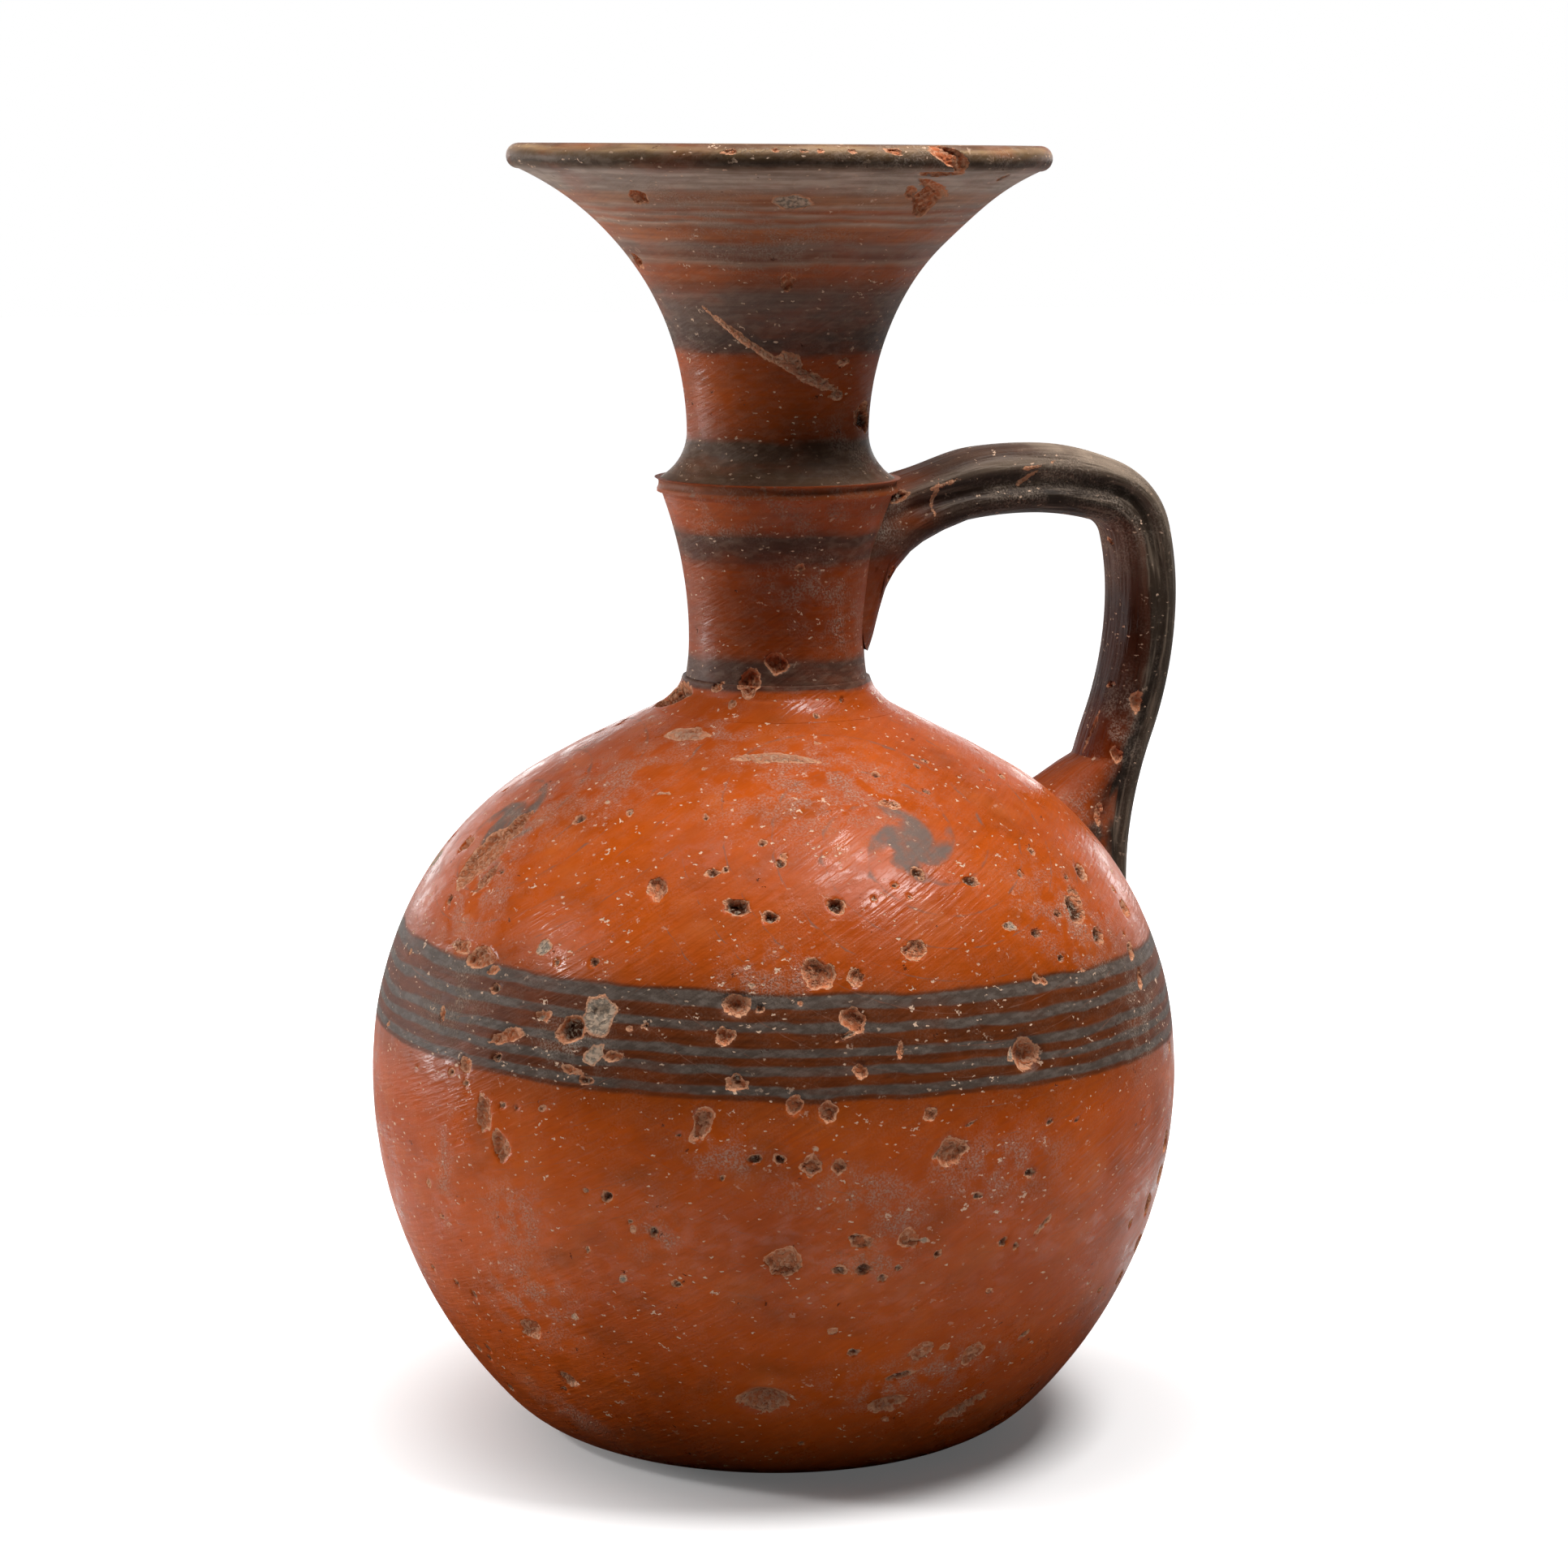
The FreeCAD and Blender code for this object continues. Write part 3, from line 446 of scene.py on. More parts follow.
def shape_strap(strap):
    """Draw the clay down under the top and out at the foot, and groove the upper run."""
    places = coordinates(strap)
    along, across, outward = strap_places(places)
    write_attribute(strap, "along", along)
    write_attribute(strap, "across", across)
    write_attribute(strap, "outward", outward)
    reach, level = places[:, 0].copy(), places[:, 2].copy()
    top = along < 45
    inner = np.clip(-outward / HANDLE_HALF_THICKNESS, 0, 1)

    # Long hollows in both flanks of the upper run, a crest above each
    flank = np.clip(np.abs(across) / HANDLE_HALF_WIDTH, 0, 1) ** 2
    fade = smooth_share(along, 3, 8) * (1 - smooth_share(along, 38, 50))
    hollow = 1.05 * np.exp(-((outward - 0.1) / 1.15) ** 2) * flank * fade
    low_fade = smooth_share(along, 46, 58) * (1 - smooth_share(along, 88, 100))
    hollow += 0.5 * np.exp(-((outward - 0.9) / 1.1) ** 2) * flank * low_fade
    places[:, 1] -= np.sign(across) * hollow
    crown = 0.85 * smooth_share(along, 9, 17) * (1 - smooth_share(along, 26, 38))
    places[:, 2] += crown * smooth_share(outward, 0, HANDLE_HALF_THICKNESS)

    # The wedge
    strap_under = np.interp(reach, *under_strap())
    wedge = np.interp(reach, WEDGE_REACHES, WEDGE_LEVELS)
    drop = np.clip(strap_under - wedge, 0, None)
    near = top & (reach < 25)
    share = smooth_share(inner, 0.0, 1.0) ** 0.8
    places[near, 2] -= (drop * share)[near]
    narrow = 1 - 0.22 * smooth_share(drop * share, 1.5, 7)
    places[near, 1] *= narrow[near]
    radius = np.hypot(places[:, 0], places[:, 1])
    wrapped = np.arctan2(places[:, 1], places[:, 0])
    off_neck = np.clip(radius - neck_radius(places[:, 2]), 0, None)
    wrapped *= 1 + (0.4 + 1.4 * inner) * np.exp(-off_neck / 2.3)
    eased = np.clip(1 - (np.abs(wrapped) / WEDGE_SPREAD) ** 1.5, 0, 1)
    radius -= (off_neck + 0.6) * (1 - eased) * smooth_share(drop * share, 0.0, 5.0)
    places[near, 0] = (radius * np.cos(wrapped))[near]
    places[near, 1] = (radius * np.sin(wrapped))[near]

    # The foot
    foot = along > 60
    inner_face = np.interp(level, FOOT_LEVELS, FOOT_REACHES)
    line = reach - outward
    spread = np.clip(line - HANDLE_HALF_THICKNESS - inner_face, 0, None)
    draw = foot & (outward < 0)
    places[draw, 0] -= (spread * inner ** 0.9)[draw]
    depth = globe_depth(places)
    flare = 1 + 0.42 * np.exp(np.clip(depth, -30, 0) / 2.6)
    places[foot, 1] *= flare[foot]

    # What lies inside the globe's wall is kept just under its surface
    depth = globe_depth(places)
    deep = foot & (depth > BURIED)
    radius = np.hypot(places[:, 0], places[:, 1])
    from_centre_r, from_centre_z = radius - shoulder_centre[0], places[:, 2] - shoulder_centre[1]
    size = np.hypot(from_centre_r, from_centre_z)
    shrink = (SHOULDER_ARC - BURIED) / size
    new_radius = shoulder_centre[0] + from_centre_r * shrink
    new_level = shoulder_centre[1] + from_centre_z * shrink
    places[deep, 0] *= (new_radius / radius)[deep]
    places[deep, 1] *= (new_radius / radius)[deep]
    places[deep, 2] = new_level[deep]
    move_points(strap, places)


def under_strap():
    """The plain strap's underside in the upper run: reaches, and the level at each."""
    centre = (HANDLE_TOP[0], HANDLE_TOP[1] - RISE_ARC)
    size = RISE_ARC - HANDLE_HALF_THICKNESS
    reaches = np.linspace(HANDLE_NECK_REACH, HANDLE_TOP[0], 40)
    return reaches, centre[1] + np.sqrt(size ** 2 - (reaches - centre[0]) ** 2)


def neck_radius(levels):
    """The lower neck's outer radius at given levels."""
    foot = level_centre(SEAT_RADIUS, SEAT_LEVEL, *COLLAR_WAIST)
    flare = level_centre(COLLAR_TOP_RADIUS, RIDGE_LEVEL, *COLLAR_WAIST)
    centre = np.where(levels < COLLAR_WAIST[1], foot[0], flare[0])
    size = centre - COLLAR_WAIST[0]
    rise = np.clip(np.abs(levels - COLLAR_WAIST[1]), 0, size)
    return centre - np.sqrt(size ** 2 - rise ** 2)


def globe_depth(places):
    """How far points lie inside the shoulder's arc, in millimetres."""
    radius = np.hypot(places[:, 0], places[:, 1])
    return SHOULDER_ARC - np.hypot(radius - shoulder_centre[0], places[:, 2] - shoulder_centre[1])


def photo_camera():
    data = bpy.data.cameras.new("photo_camera")
    data.sensor_width = SENSOR
    data.lens = FOCAL_PIXELS * SENSOR / PHOTO_PIXELS
    data.clip_start, data.clip_end = 0.01, 20
    camera = bpy.data.objects.new("photo_camera", data)
    bpy.context.scene.collection.objects.link(camera)
    back = Vector((math.sin(VIEW_AZIMUTH), -math.cos(VIEW_AZIMUTH), 0))
    camera.location = back * VIEW_DISTANCE + Vector((0, 0, EYE_HEIGHT))
    aim = Euler((math.pi / 2 - VIEW_TILT, 0, VIEW_AZIMUTH - VIEW_YAW)).to_matrix()
    roll = Euler((0, 0, VIEW_ROLL)).to_matrix()
    camera.rotation_euler = (aim @ roll).to_euler()
    bpy.context.scene.camera = camera
    bpy.context.view_layer.update()
    return camera


def photo_ray(camera, across, down):
    """From the camera through a point of the photograph, given in its pixels."""
    middle = PHOTO_PIXELS / 2
    local = Vector(((across - middle) / FOCAL_PIXELS, (middle - down) / FOCAL_PIXELS, -1))
    return camera.location.copy(), (camera.matrix_world.to_3x3() @ local).normalized()


def linear(hex_colour):
    """An sRGB hex colour as linear light, with an alpha of 1."""
    parts = [int(hex_colour[at:at + 2], 16) / 255 for at in (1, 3, 5)]
    light = [p / 12.92 if p <= 0.04045 else ((p + 0.055) / 1.055) ** 2.4 for p in parts]
    return (*light, 1.0)


def add(tree, kind, settings=None, links=None):
    """Add a shader node: settings are its own values, links its inputs' values or sources."""
    node = tree.nodes.new("ShaderNode" + kind)
    for name, value in (settings or {}).items():
        setattr(node, name, value)
    for name, value in (links or {}).items():
        if isinstance(value, bpy.types.NodeSocket):
            tree.links.new(value, node.inputs[name])
        else:
            node.inputs[name].default_value = value
    return node


def soft_band(tree, value, low, high, soft):
    """1 where value lies between low and high, fading over soft at both edges."""
    rise = add(tree, "MapRange", {"interpolation_type": "SMOOTHSTEP"},
               {0: value, 1: low - soft, 2: low + soft})
    fall = add(tree, "MapRange", {"interpolation_type": "SMOOTHSTEP"},
               {0: value, 1: high - soft, 2: high + soft, 3: 1.0, 4: 0.0})
    both = add(tree, "Math", {"operation": "MULTIPLY"}, {0: rise.outputs[0], 1: fall.outputs[0]})
    return both.outputs[0]


def patches(tree, place, size, low, high, stretch=(1, 1, 1), detail=3.0, shift=0.0):
    """Soft-edged patches of about the given size in millimetres: 0 below low, 1 above high."""
    scale = [1 / (size * share) for share in stretch]
    moved = add(tree, "Mapping", None, {"Vector": place, "Scale": scale, "Location": (shift, shift, shift)})
    cloud = add(tree, "TexNoise", None, {"Vector": moved.outputs[0], "Scale": 1.0, "Detail": detail})
    return add(tree, "MapRange", {"interpolation_type": "SMOOTHSTEP"},
               {0: cloud.outputs[0], 1: low, 2: high}).outputs[0]


def specks(tree, place, spacing, radius, share, stretch=(1, 1, 1)):
    """Small dots, one in each cell of the spacing at most, of the given radius in millimetres."""
    scale = [1 / (spacing * part) for part in stretch]
    moved = add(tree, "Mapping", None, {"Vector": place, "Scale": scale})
    warp = add(tree, "TexNoise", None, {"Vector": place, "Scale": 2.1, "Detail": 2.0})
    bent = add(tree, "MixRGB", {"blend_type": "LINEAR_LIGHT"},
               {0: 0.35, 1: moved.outputs[0], 2: warp.outputs[1]})
    cells = add(tree, "TexVoronoi", {"feature": "F1"}, {"Vector": bent.outputs[0], "Scale": 1.0})
    near = add(tree, "MapRange", {"interpolation_type": "SMOOTHSTEP"},
               {0: cells.outputs[0], 1: radius / spacing * 0.7, 2: radius / spacing * 1.3, 3: 1.0, 4: 0.0})
    split = add(tree, "SeparateColor", None, {0: cells.outputs[1]})
    chosen = add(tree, "Math", {"operation": "LESS_THAN"}, {0: split.outputs[0], 1: share})
    return add(tree, "Math", {"operation": "MULTIPLY"}, {0: near.outputs[0], 1: chosen.outputs[0]}).outputs[0]


def coats(tree, ground, layers, kind="RGBA"):
    """Lay coats over a ground, each as far as its share says: colours, or plain values."""
    first, second, out = (6, 7, 2) if kind == "RGBA" else (2, 3, 0)
    result = ground
    for share, coat in layers:
        mixed = add(tree, "Mix", {"data_type": kind}, {0: share, first: result, second: coat})
        result = mixed.outputs[out]
    return result


def total(tree, *values):
    """The sum of some values, each a source or a (source, weight) pair."""
    result = 0.0
    for value in values:
        source, weight = value if isinstance(value, tuple) else (value, 1.0)
        result = add(tree, "Math", {"operation": "MULTIPLY_ADD"}, {0: source, 1: weight, 2: result}).outputs[0]
    return result


def product(tree, *values):
    result = values[0]
    for value in values[1:]:
        result = add(tree, "Math", {"operation": "MULTIPLY"}, {0: result, 1: value}).outputs[0]
    return result


def painted_levels(tree, height, levels):
    """Colour and cover of brushed bands: levels are (height in mm, hex colour, cover)."""
    low, high = levels[0][0], levels[-1][0]
    share = add(tree, "MapRange", None, {0: height, 1: low, 2: high})
    ramp = add(tree, "ValToRGB", None, {0: share.outputs[0]})
    stops = ramp.color_ramp.elements
    while len(stops) < len(levels):
        stops.new(0.5)
    for stop, (level, colour, cover) in zip(stops, levels):
        stop.position = (level - low) / (high - low)
    for stop, (level, colour, cover) in zip(stops, levels):
        stop.color = (*linear(colour)[:3], cover)
    return ramp.outputs[0], ramp.outputs[1]


# Fired clay and its coats, as sRGB hex
SLIP = "#c05210"
SLIP_RED = "#a8430d"
SLIP_PALE = "#ca6a34"
SLIP_BROWN = "#78370f"
PAINT = "#6f5949"
PAINT_DARK = "#4c3d33"
PAINT_BLOOM = "#94816f"
WASH = "#4e240c"
CLAY = "#d07c50"
CLAY_PINK = "#dea480"
CLAY_DARK = "#552a18"
LIME = "#c2ae98"
GRAIN = "#8d7f70"

# Bands painted on the thrown pieces, from the photograph: height in mm, colour, cover. Some levels also carry painted
# light, as noted at them
NECK_LEVELS = (
    (84.0, SLIP, 0.0), (88.0, SLIP, 0.0), (88.6, "#40302a", 0.85), (89.2, "#4d3f37", 0.9), (91.4, "#51433b", 0.92),
    (92.6, "#7a3d1c", 0.4), (94.0, "#7c3610", 0.55), (102.2, "#7c3610", 0.55), (103.4, "#3e302a", 0.85),
    # from 108.5 mm up to the ridge, a paler orange than the slip lifts the shadow under the ridge: painted light
    (106.0, "#493b33", 0.92), (107.2, "#8c4b2c", 0.35), (108.5, "#bb663e", 0.4), (110.6, "#bb663e", 0.45),
)
FUNNEL_LEVELS = (
    (112.2, "#6c5a46", 0.92), (114.6, "#5a4939", 0.95), (116.6, "#524031", 0.95), (117.4, "#5c2e16", 0.6),
    (118.4, "#7c3814", 0.6), (122.5, "#8e4418", 0.4), (126.3, "#7c3814", 0.5), (127.2, "#453730", 0.9), (128.4, "#4e433d", 0.96),
    # from 134.9 to 147.2 mm the colours are lighter than the paint's own, standing in for light and sheen the flare's
    # underside lacks: painted light and painted sheen over real bands
    (133.6, "#7b685d", 0.94), (134.9, "#87553a", 0.75), (135.8, "#a96038", 0.65), (136.7, "#a86644", 0.7),
    (137.2, "#ab937e", 0.85), (137.9, "#7c5846", 0.85), (139.2, "#978274", 0.9), (140.0, "#b3764f", 0.7),
    (141.2, "#b97b55", 0.7), (141.7, "#c0ac98", 0.9), (142.1, "#b07250", 0.7), (142.6, "#bda995", 0.88),
    (143.1, "#ae7455", 0.72), (143.6, "#b9a490", 0.88), (144.1, "#b18565", 0.8), (144.9, "#b38c6e", 0.8),
    (145.5, "#beae9d", 0.9), (147.2, "#c2b1a2", 0.95), (147.9, "#6b5846", 0.96), (148.4, "#46362a", 1.0),
    (149.4, "#6b5539", 0.95), (149.8, "#a88d68", 0.9), (150.4, "#5a4634", 0.9),
)
BELLY_LINES = ((49.75, 0.5), (51.9, 0.48), (53.85, 0.5), (56.5, 0.52), (59.15, 0.7))
BELLY_WASH = (48.7, 60.15)
# The belly lines run lower to the right in the photograph
LINE_SLOPE = 0.0118

# The worn whirl on the shoulder: where it is, how large, and how far its arms turn
WHIRL_COUNT = 4
WHIRL_AZIMUTH = math.radians(-85.4)
WHIRL_LEVEL = 73.9
WHIRL_SLOPE = 1.58
WHIRL_REACH = 6.4
WHIRL_TURN = math.radians(17)
WHIRL_WIDTH = 2.3


def whirl_share(tree, parts, jitter):
    """Four soft curved arms about a centre, repeated round the shoulder."""
    sector = math.tau / WHIRL_COUNT
    azimuth = add(tree, "Math", {"operation": "ARCTAN2"}, {0: parts[1], 1: parts[0]})
    shifted = add(tree, "Math", {"operation": "SUBTRACT"}, {0: azimuth.outputs[0], 1: WHIRL_AZIMUTH})
    turned = add(tree, "Math", {"operation": "WRAP"}, {0: shifted.outputs[0], 1: sector / 2, 2: -sector / 2})
    squares = total(tree, product(tree, parts[0], parts[0]), product(tree, parts[1], parts[1]))
    radius = add(tree, "Math", {"operation": "SQRT"}, {0: squares})
    across = total(tree, product(tree, turned.outputs[0], radius.outputs[0]), (jitter, 0.9))
    up = add(tree, "Math", {"operation": "MULTIPLY_ADD"},
             {0: parts[2], 1: WHIRL_SLOPE, 2: -WHIRL_LEVEL * WHIRL_SLOPE}).outputs[0]
    reach = add(tree, "Math", {"operation": "SQRT"},
                {0: total(tree, product(tree, across, across), product(tree, up, up))}).outputs[0]
    angle = add(tree, "Math", {"operation": "ARCTAN2"}, {0: up, 1: across}).outputs[0]
    swung = add(tree, "Math", {"operation": "MULTIPLY_ADD"}, {0: reach, 1: -WHIRL_TURN, 2: angle}).outputs[0]
    quarter = math.tau / 4
    arm = add(tree, "Math", {"operation": "WRAP"}, {0: swung, 1: quarter / 2, 2: -quarter / 2}).outputs[0]
    off = product(tree, add(tree, "Math", {"operation": "ABSOLUTE"}, {0: arm}).outputs[0], reach)
    taper = add(tree, "MapRange", None, {0: reach, 1: 1.6, 2: WHIRL_REACH, 3: WHIRL_WIDTH, 4: -0.4}).outputs[0]
    inside = total(tree, taper, (off, -0.8), (jitter, 2.2))
    return add(tree, "MapRange", {"interpolation_type": "SMOOTHSTEP"}, {0: inside, 1: -1.1, 2: 0.8}).outputs[0]


def attribute(tree, name):
    return add(tree, "Attribute", {"attribute_name": name}).outputs["Fac"]


def finish_surface(material, tree, colour, rough, height, bump, polish=0.0, specular=0.11, ior=1.5):
    """End a material: its shader, with fine relief in millimetres turned to a bump."""
    relief = add(tree, "Bump", None, {"Strength": bump, "Distance": MM, "Height": height})
    shader = add(tree, "BsdfPrincipled", None,
                 {"Base Color": colour, "Roughness": rough, "IOR": ior, "Normal": relief.outputs[0],
                  "Specular IOR Level": specular, "Coat Weight": polish, "Coat Roughness": 0.1,
                  "Coat Normal": relief.outputs[0]})
    out = add(tree, "OutputMaterial")
    tree.links.new(shader.outputs[0], out.inputs[0])
    return material


def new_material(name):
    material = bpy.data.materials.new(name)
    material.use_nodes = True
    tree = material.node_tree
    tree.nodes.clear()
    coordinates_node = add(tree, "TexCoord")
    scaled = add(tree, "VectorMath", {"operation": "SCALE"}, {0: coordinates_node.outputs["Object"], "Scale": 1 / MM})
    place = scaled.outputs[0]
    split = add(tree, "SeparateXYZ", None, {0: place})
    return material, tree, place, split.outputs


def worn_clay(tree, place, colour, rough, height):
    """Lay the wear over a coated surface: bare clay in the chips, pits, flecks and lime, with painted shade darkening
    the pits' bottoms and the marks' middles.
    """
    bare = attribute(tree, "bare")
    pale = attribute(tree, "pale")
    hole_shade = attribute(tree, "hole_shade")
    crust = attribute(tree, "crust")
    fret = patches(tree, place, 0.55, 0.3, 0.7, detail=2.0)
    bite = patches(tree, place, 1.5, 0.3, 0.7, detail=3.0, shift=14.2)
    edge = total(tree, bare, (fret, 0.14), (bite, 0.26), -0.2)
    open_clay = add(tree, "MapRange", None, {0: edge, 1: -0.03, 2: 0.05}).outputs[0]
    rim = add(tree, "MapRange", None, {0: edge, 1: 0.06, 2: 0.34, 3: 1.0, 4: 0.0}).outputs[0]
    # painted shade: the bare clay turns darker brown towards a mark's middle, where its hollow is deepest
    mark_middle_shade = add(tree, "MapRange", None, {0: edge, 1: 0.35, 2: 1.1}).outputs[0]
    grit = patches(tree, place, 0.5, 0.42, 0.6, detail=4.0, shift=3.1)
    mottle = patches(tree, place, 1.7, 0.35, 0.65, shift=7.7)
    drift = patches(tree, place, 3.4, 0.35, 0.62, detail=5.0, shift=12.6)
    clay = coats(tree, linear(CLAY), [
        (product(tree, drift, 0.65), linear("#b4582a")),
        (product(tree, mottle, 0.4), linear("#8e4420")),
        (product(tree, grit, 0.7), linear(CLAY_PINK)),
        (product(tree, mark_middle_shade, total(tree, (fret, -0.3), 0.36)), linear("#74381b")),
        (product(tree, pale, 0.85), linear(LIME)),
        (product(tree, grit, pale), linear(GRAIN)),
        # painted shade: the bottoms of pits, bowls and the break turn near black-brown
        (product(tree, hole_shade, 0.88), linear("#3a2015")),
        (product(tree, hole_shade, patches(tree, place, 0.42, 0.5, 0.58, detail=2.0, shift=5.3), 0.8), linear("#b3a08c")),
        (product(tree, rim, total(tree, (bite, 0.7), 0.2)), linear(CLAY_PINK)),
    ])
    flecks = specks(tree, place, 0.9, 0.13, 0.75, (1.5, 1.5, 0.8))
    chips = specks(tree, place, 2.3, 0.27, 0.5, (1.4, 1.4, 0.8))
    leaning = add(tree, "VectorRotate", None,
                  {"Vector": place, "Axis": (math.sin(VIEW_AZIMUTH), -math.cos(VIEW_AZIMUTH), 0),
                   "Angle": math.radians(35)}).outputs[0]
    nicks = specks(tree, leaning, 2.2, 0.2, 0.35, (3.2, 1.6, 0.55))
    dots = specks(tree, place, 2.6, 0.2, 0.3)
    fine_patch = patches(tree, place, 6.0, 0.42, 0.58, shift=11.0)
    chip_share = add(tree, "Math", {"operation": "MAXIMUM"}, {0: flecks, 1: chips}).outputs[0]
    chip_share = add(tree, "Math", {"operation": "MAXIMUM"}, {0: chip_share, 1: nicks}).outputs[0]
    fleck_share = product(tree, chip_share, total(tree, (fine_patch, 0.75), 0.25))
    crust_grain = patches(tree, place, 0.24, 0.42, 0.62, detail=5.0, shift=1.7)
    crust_edge = patches(tree, place, 2.4, 0.36, 0.62, detail=6.0, shift=9.1)
    crust_share = product(tree, crust, crust_edge, total(tree, (crust_grain, 1.0), 0.16))
    colour = coats(tree, colour, [
        (product(tree, crust_share, 0.48), linear("#bca897")),
        (product(tree, fleck_share, 0.95), linear("#e6c2a6")),
        (product(tree, dots, 0.7), linear("#4a2413")),
        (open_clay, clay),
    ])
    rough = coats(tree, rough, [(crust_share, 0.95), (fleck_share, 0.8), (open_clay, 0.92)], "FLOAT")
    height = total(tree, height, (crust_share, 0.06), (fleck_share, -0.05), (dots, -0.1),
                   (product(tree, open_clay, grit), -0.12), (product(tree, open_clay, mottle), 0.1))
    return colour, rough, height


def slip_coat(tree, place):
    """Burnished orange-red slip: clouds of firing colour and strokes of the burnishing tool."""
    cloud = patches(tree, place, 15.0, 0.3, 0.7)
    smudge = patches(tree, place, 7.0, 0.5, 0.78, (1.5, 1.5, 0.8), 4.0, 2.3)
    pale = patches(tree, place, 9.0, 0.52, 0.8, detail=5.0, shift=8.4)
    leaning = add(tree, "VectorRotate", None,
                  {"Vector": place, "Axis": (math.sin(VIEW_AZIMUTH), -math.cos(VIEW_AZIMUTH), 0),
                   "Angle": math.radians(-32)}).outputs[0]
    stroke = patches(tree, leaning, 0.8, 0.3, 0.7, (6.0, 6.0, 0.6), 2.0)
    mottle = patches(tree, place, 1.6, 0.3, 0.7, detail=4.0, shift=4.2)
    colour = coats(tree, linear(SLIP), [
        (product(tree, cloud, 0.7), linear(SLIP_RED)),
        (product(tree, pale, 0.55), linear(SLIP_PALE)),
        (product(tree, smudge, 0.5), linear(SLIP_BROWN)),
        (product(tree, stroke, 0.16), linear(SLIP_BROWN)),
        (product(tree, mottle, 0.12), linear(SLIP_PALE)),
    ])
    return colour, stroke, mottle


def brushed(tree, place, height, levels, slip):
    """Bands of matt paint over slip, streaked by the brush as the wheel turned."""
    wobble = patches(tree, place, 8.0, 0.0, 1.0, shift=6.6)
    streak = patches(tree, place, 0.42, 0.34, 0.66, (22, 22, 1), 3.0, 1.2)
    moved = total(tree, height, (wobble, 0.9), -0.45, (streak, 0.16), -0.08)
    paint, cover = painted_levels(tree, moved, levels)
    bloom = patches(tree, place, 0.7, 0.45, 0.62, (2.2, 2.2, 1), 5.0, 3.9)
    gaps = patches(tree, place, 4.0, 0.25, 0.55, (2, 2, 0.6), 5.0, 7.2)
    toned = coats(tree, paint, [
        (product(tree, bloom, 0.3), linear(PAINT_BLOOM)),
        (product(tree, streak, 0.45), linear(PAINT_DARK)),
    ])
    share = product(tree, cover, total(tree, (gaps, 0.25), 0.75))
    return coats(tree, slip, [(share, toned)]), share, streak


def lined(tree, place, height, slip):
    """The belly's lines, drawn with a set of brushes, and the thin dark wash between them."""
    wobble = patches(tree, place, 9.0, 0.0, 1.0, shift=6.6)
    hand = patches(tree, place, 2.4, 0.2, 0.8, (3, 3, 1), 2.0, 3.3)
    moved = total(tree, height, (wobble, 0.8), -0.4, (hand, 0.3), -0.15)
    streak = patches(tree, place, 0.5, 0.3, 0.7, (12, 12, 1), 3.0, 1.2)
    gaps = patches(tree, place, 5.0, 0.3, 0.5, (2, 2, 0.6), 5.0, 7.2)
    bloom = patches(tree, place, 0.6, 0.42, 0.66, (2.5, 2.5, 1), 5.0, 3.9)
    wash = soft_band(tree, moved, BELLY_WASH[0], BELLY_WASH[1], 0.25)
    thin = coats(tree, linear(WASH), [(product(tree, streak, 0.45), linear("#763a17"))])
    lines = 0.0
    for level, half in BELLY_LINES:
        line = soft_band(tree, moved, level - half, level + half, 0.17)
        lines = add(tree, "Math", {"operation": "MAXIMUM"}, {0: lines, 1: line}).outputs[0]
    paint = coats(tree, linear("#51453d"), [(product(tree, bloom, 0.5), linear("#776b63"))])
    cover = product(tree, wash, total(tree, (gaps, 0.2), 0.74))
    drawn = product(tree, lines, total(tree, (gaps, 0.3), 0.68))
    bleed = soft_band(tree, moved, 46.5, 61.5, 2.6)
    colour = coats(tree, slip, [(product(tree, bleed, 0.5), linear(SLIP_BROWN)), (cover, thin), (drawn, paint)])
    return colour, add(tree, "Math", {"operation": "MAXIMUM"}, {0: cover, 1: drawn}).outputs[0], streak


def thrown_finish(name, levels, slope=0.0, whirl=False):
    """Slipped and burnished earthenware with brushed bands; the slip shines, the paint is matt."""
    material, tree, place, parts = new_material(name)
    slip, stroke, mottle = slip_coat(tree, place)
    level = total(tree, parts[2], (parts[0], slope * math.cos(VIEW_AZIMUTH)),
                  (parts[1], slope * math.sin(VIEW_AZIMUTH)))
    if levels:
        colour, cover, streak = brushed(tree, place, level, levels, slip)
    else:
        colour, cover, streak = lined(tree, place, level, slip)
    if whirl:
        jitter = total(tree, patches(tree, place, 2.0, 0.0, 1.0, detail=5.0, shift=2.9), -0.5)
        motif = whirl_share(tree, parts, jitter)
        rubbed = patches(tree, place, 1.1, 0.3, 0.6, detail=4.0, shift=8.8)
        halo = add(tree, "MapRange", None, {0: motif, 1: 0.0, 2: 0.5}).outputs[0]
        colour = coats(tree, colour, [
            (product(tree, halo, 0.45), linear("#9a4a20")),
            (product(tree, motif, total(tree, (rubbed, 0.3), 0.62)), linear("#6c5d54")),
        ])
        cover = add(tree, "Math", {"operation": "MAXIMUM"}, {0: cover, 1: motif}).outputs[0]
    dulled = patches(tree, place, 6.0, 0.35, 0.6, detail=4.0, shift=5.1)
    rough = coats(tree, 0.22, [(dulled, 0.36), (product(tree, mottle, 0.4), 0.4), (cover, 0.5)], "FLOAT")
    relief = total(tree, (stroke, 0.028), (mottle, 0.016), (streak, 0.008))
    facet = patches(tree, place, 1.5, 0.46, 0.58, (1.6, 1.6, 0.9), 3.0, 1.4)
    open_slip = total(tree, (cover, -1.0), 1.0)
    polish = product(tree, facet, open_slip, total(tree, (dulled, -0.75), 0.95))
    colour, rough, relief = worn_clay(tree, place, colour, rough, relief)
    return finish_surface(material, tree, colour, rough, relief, 1.0, product(tree, polish, 0.35))


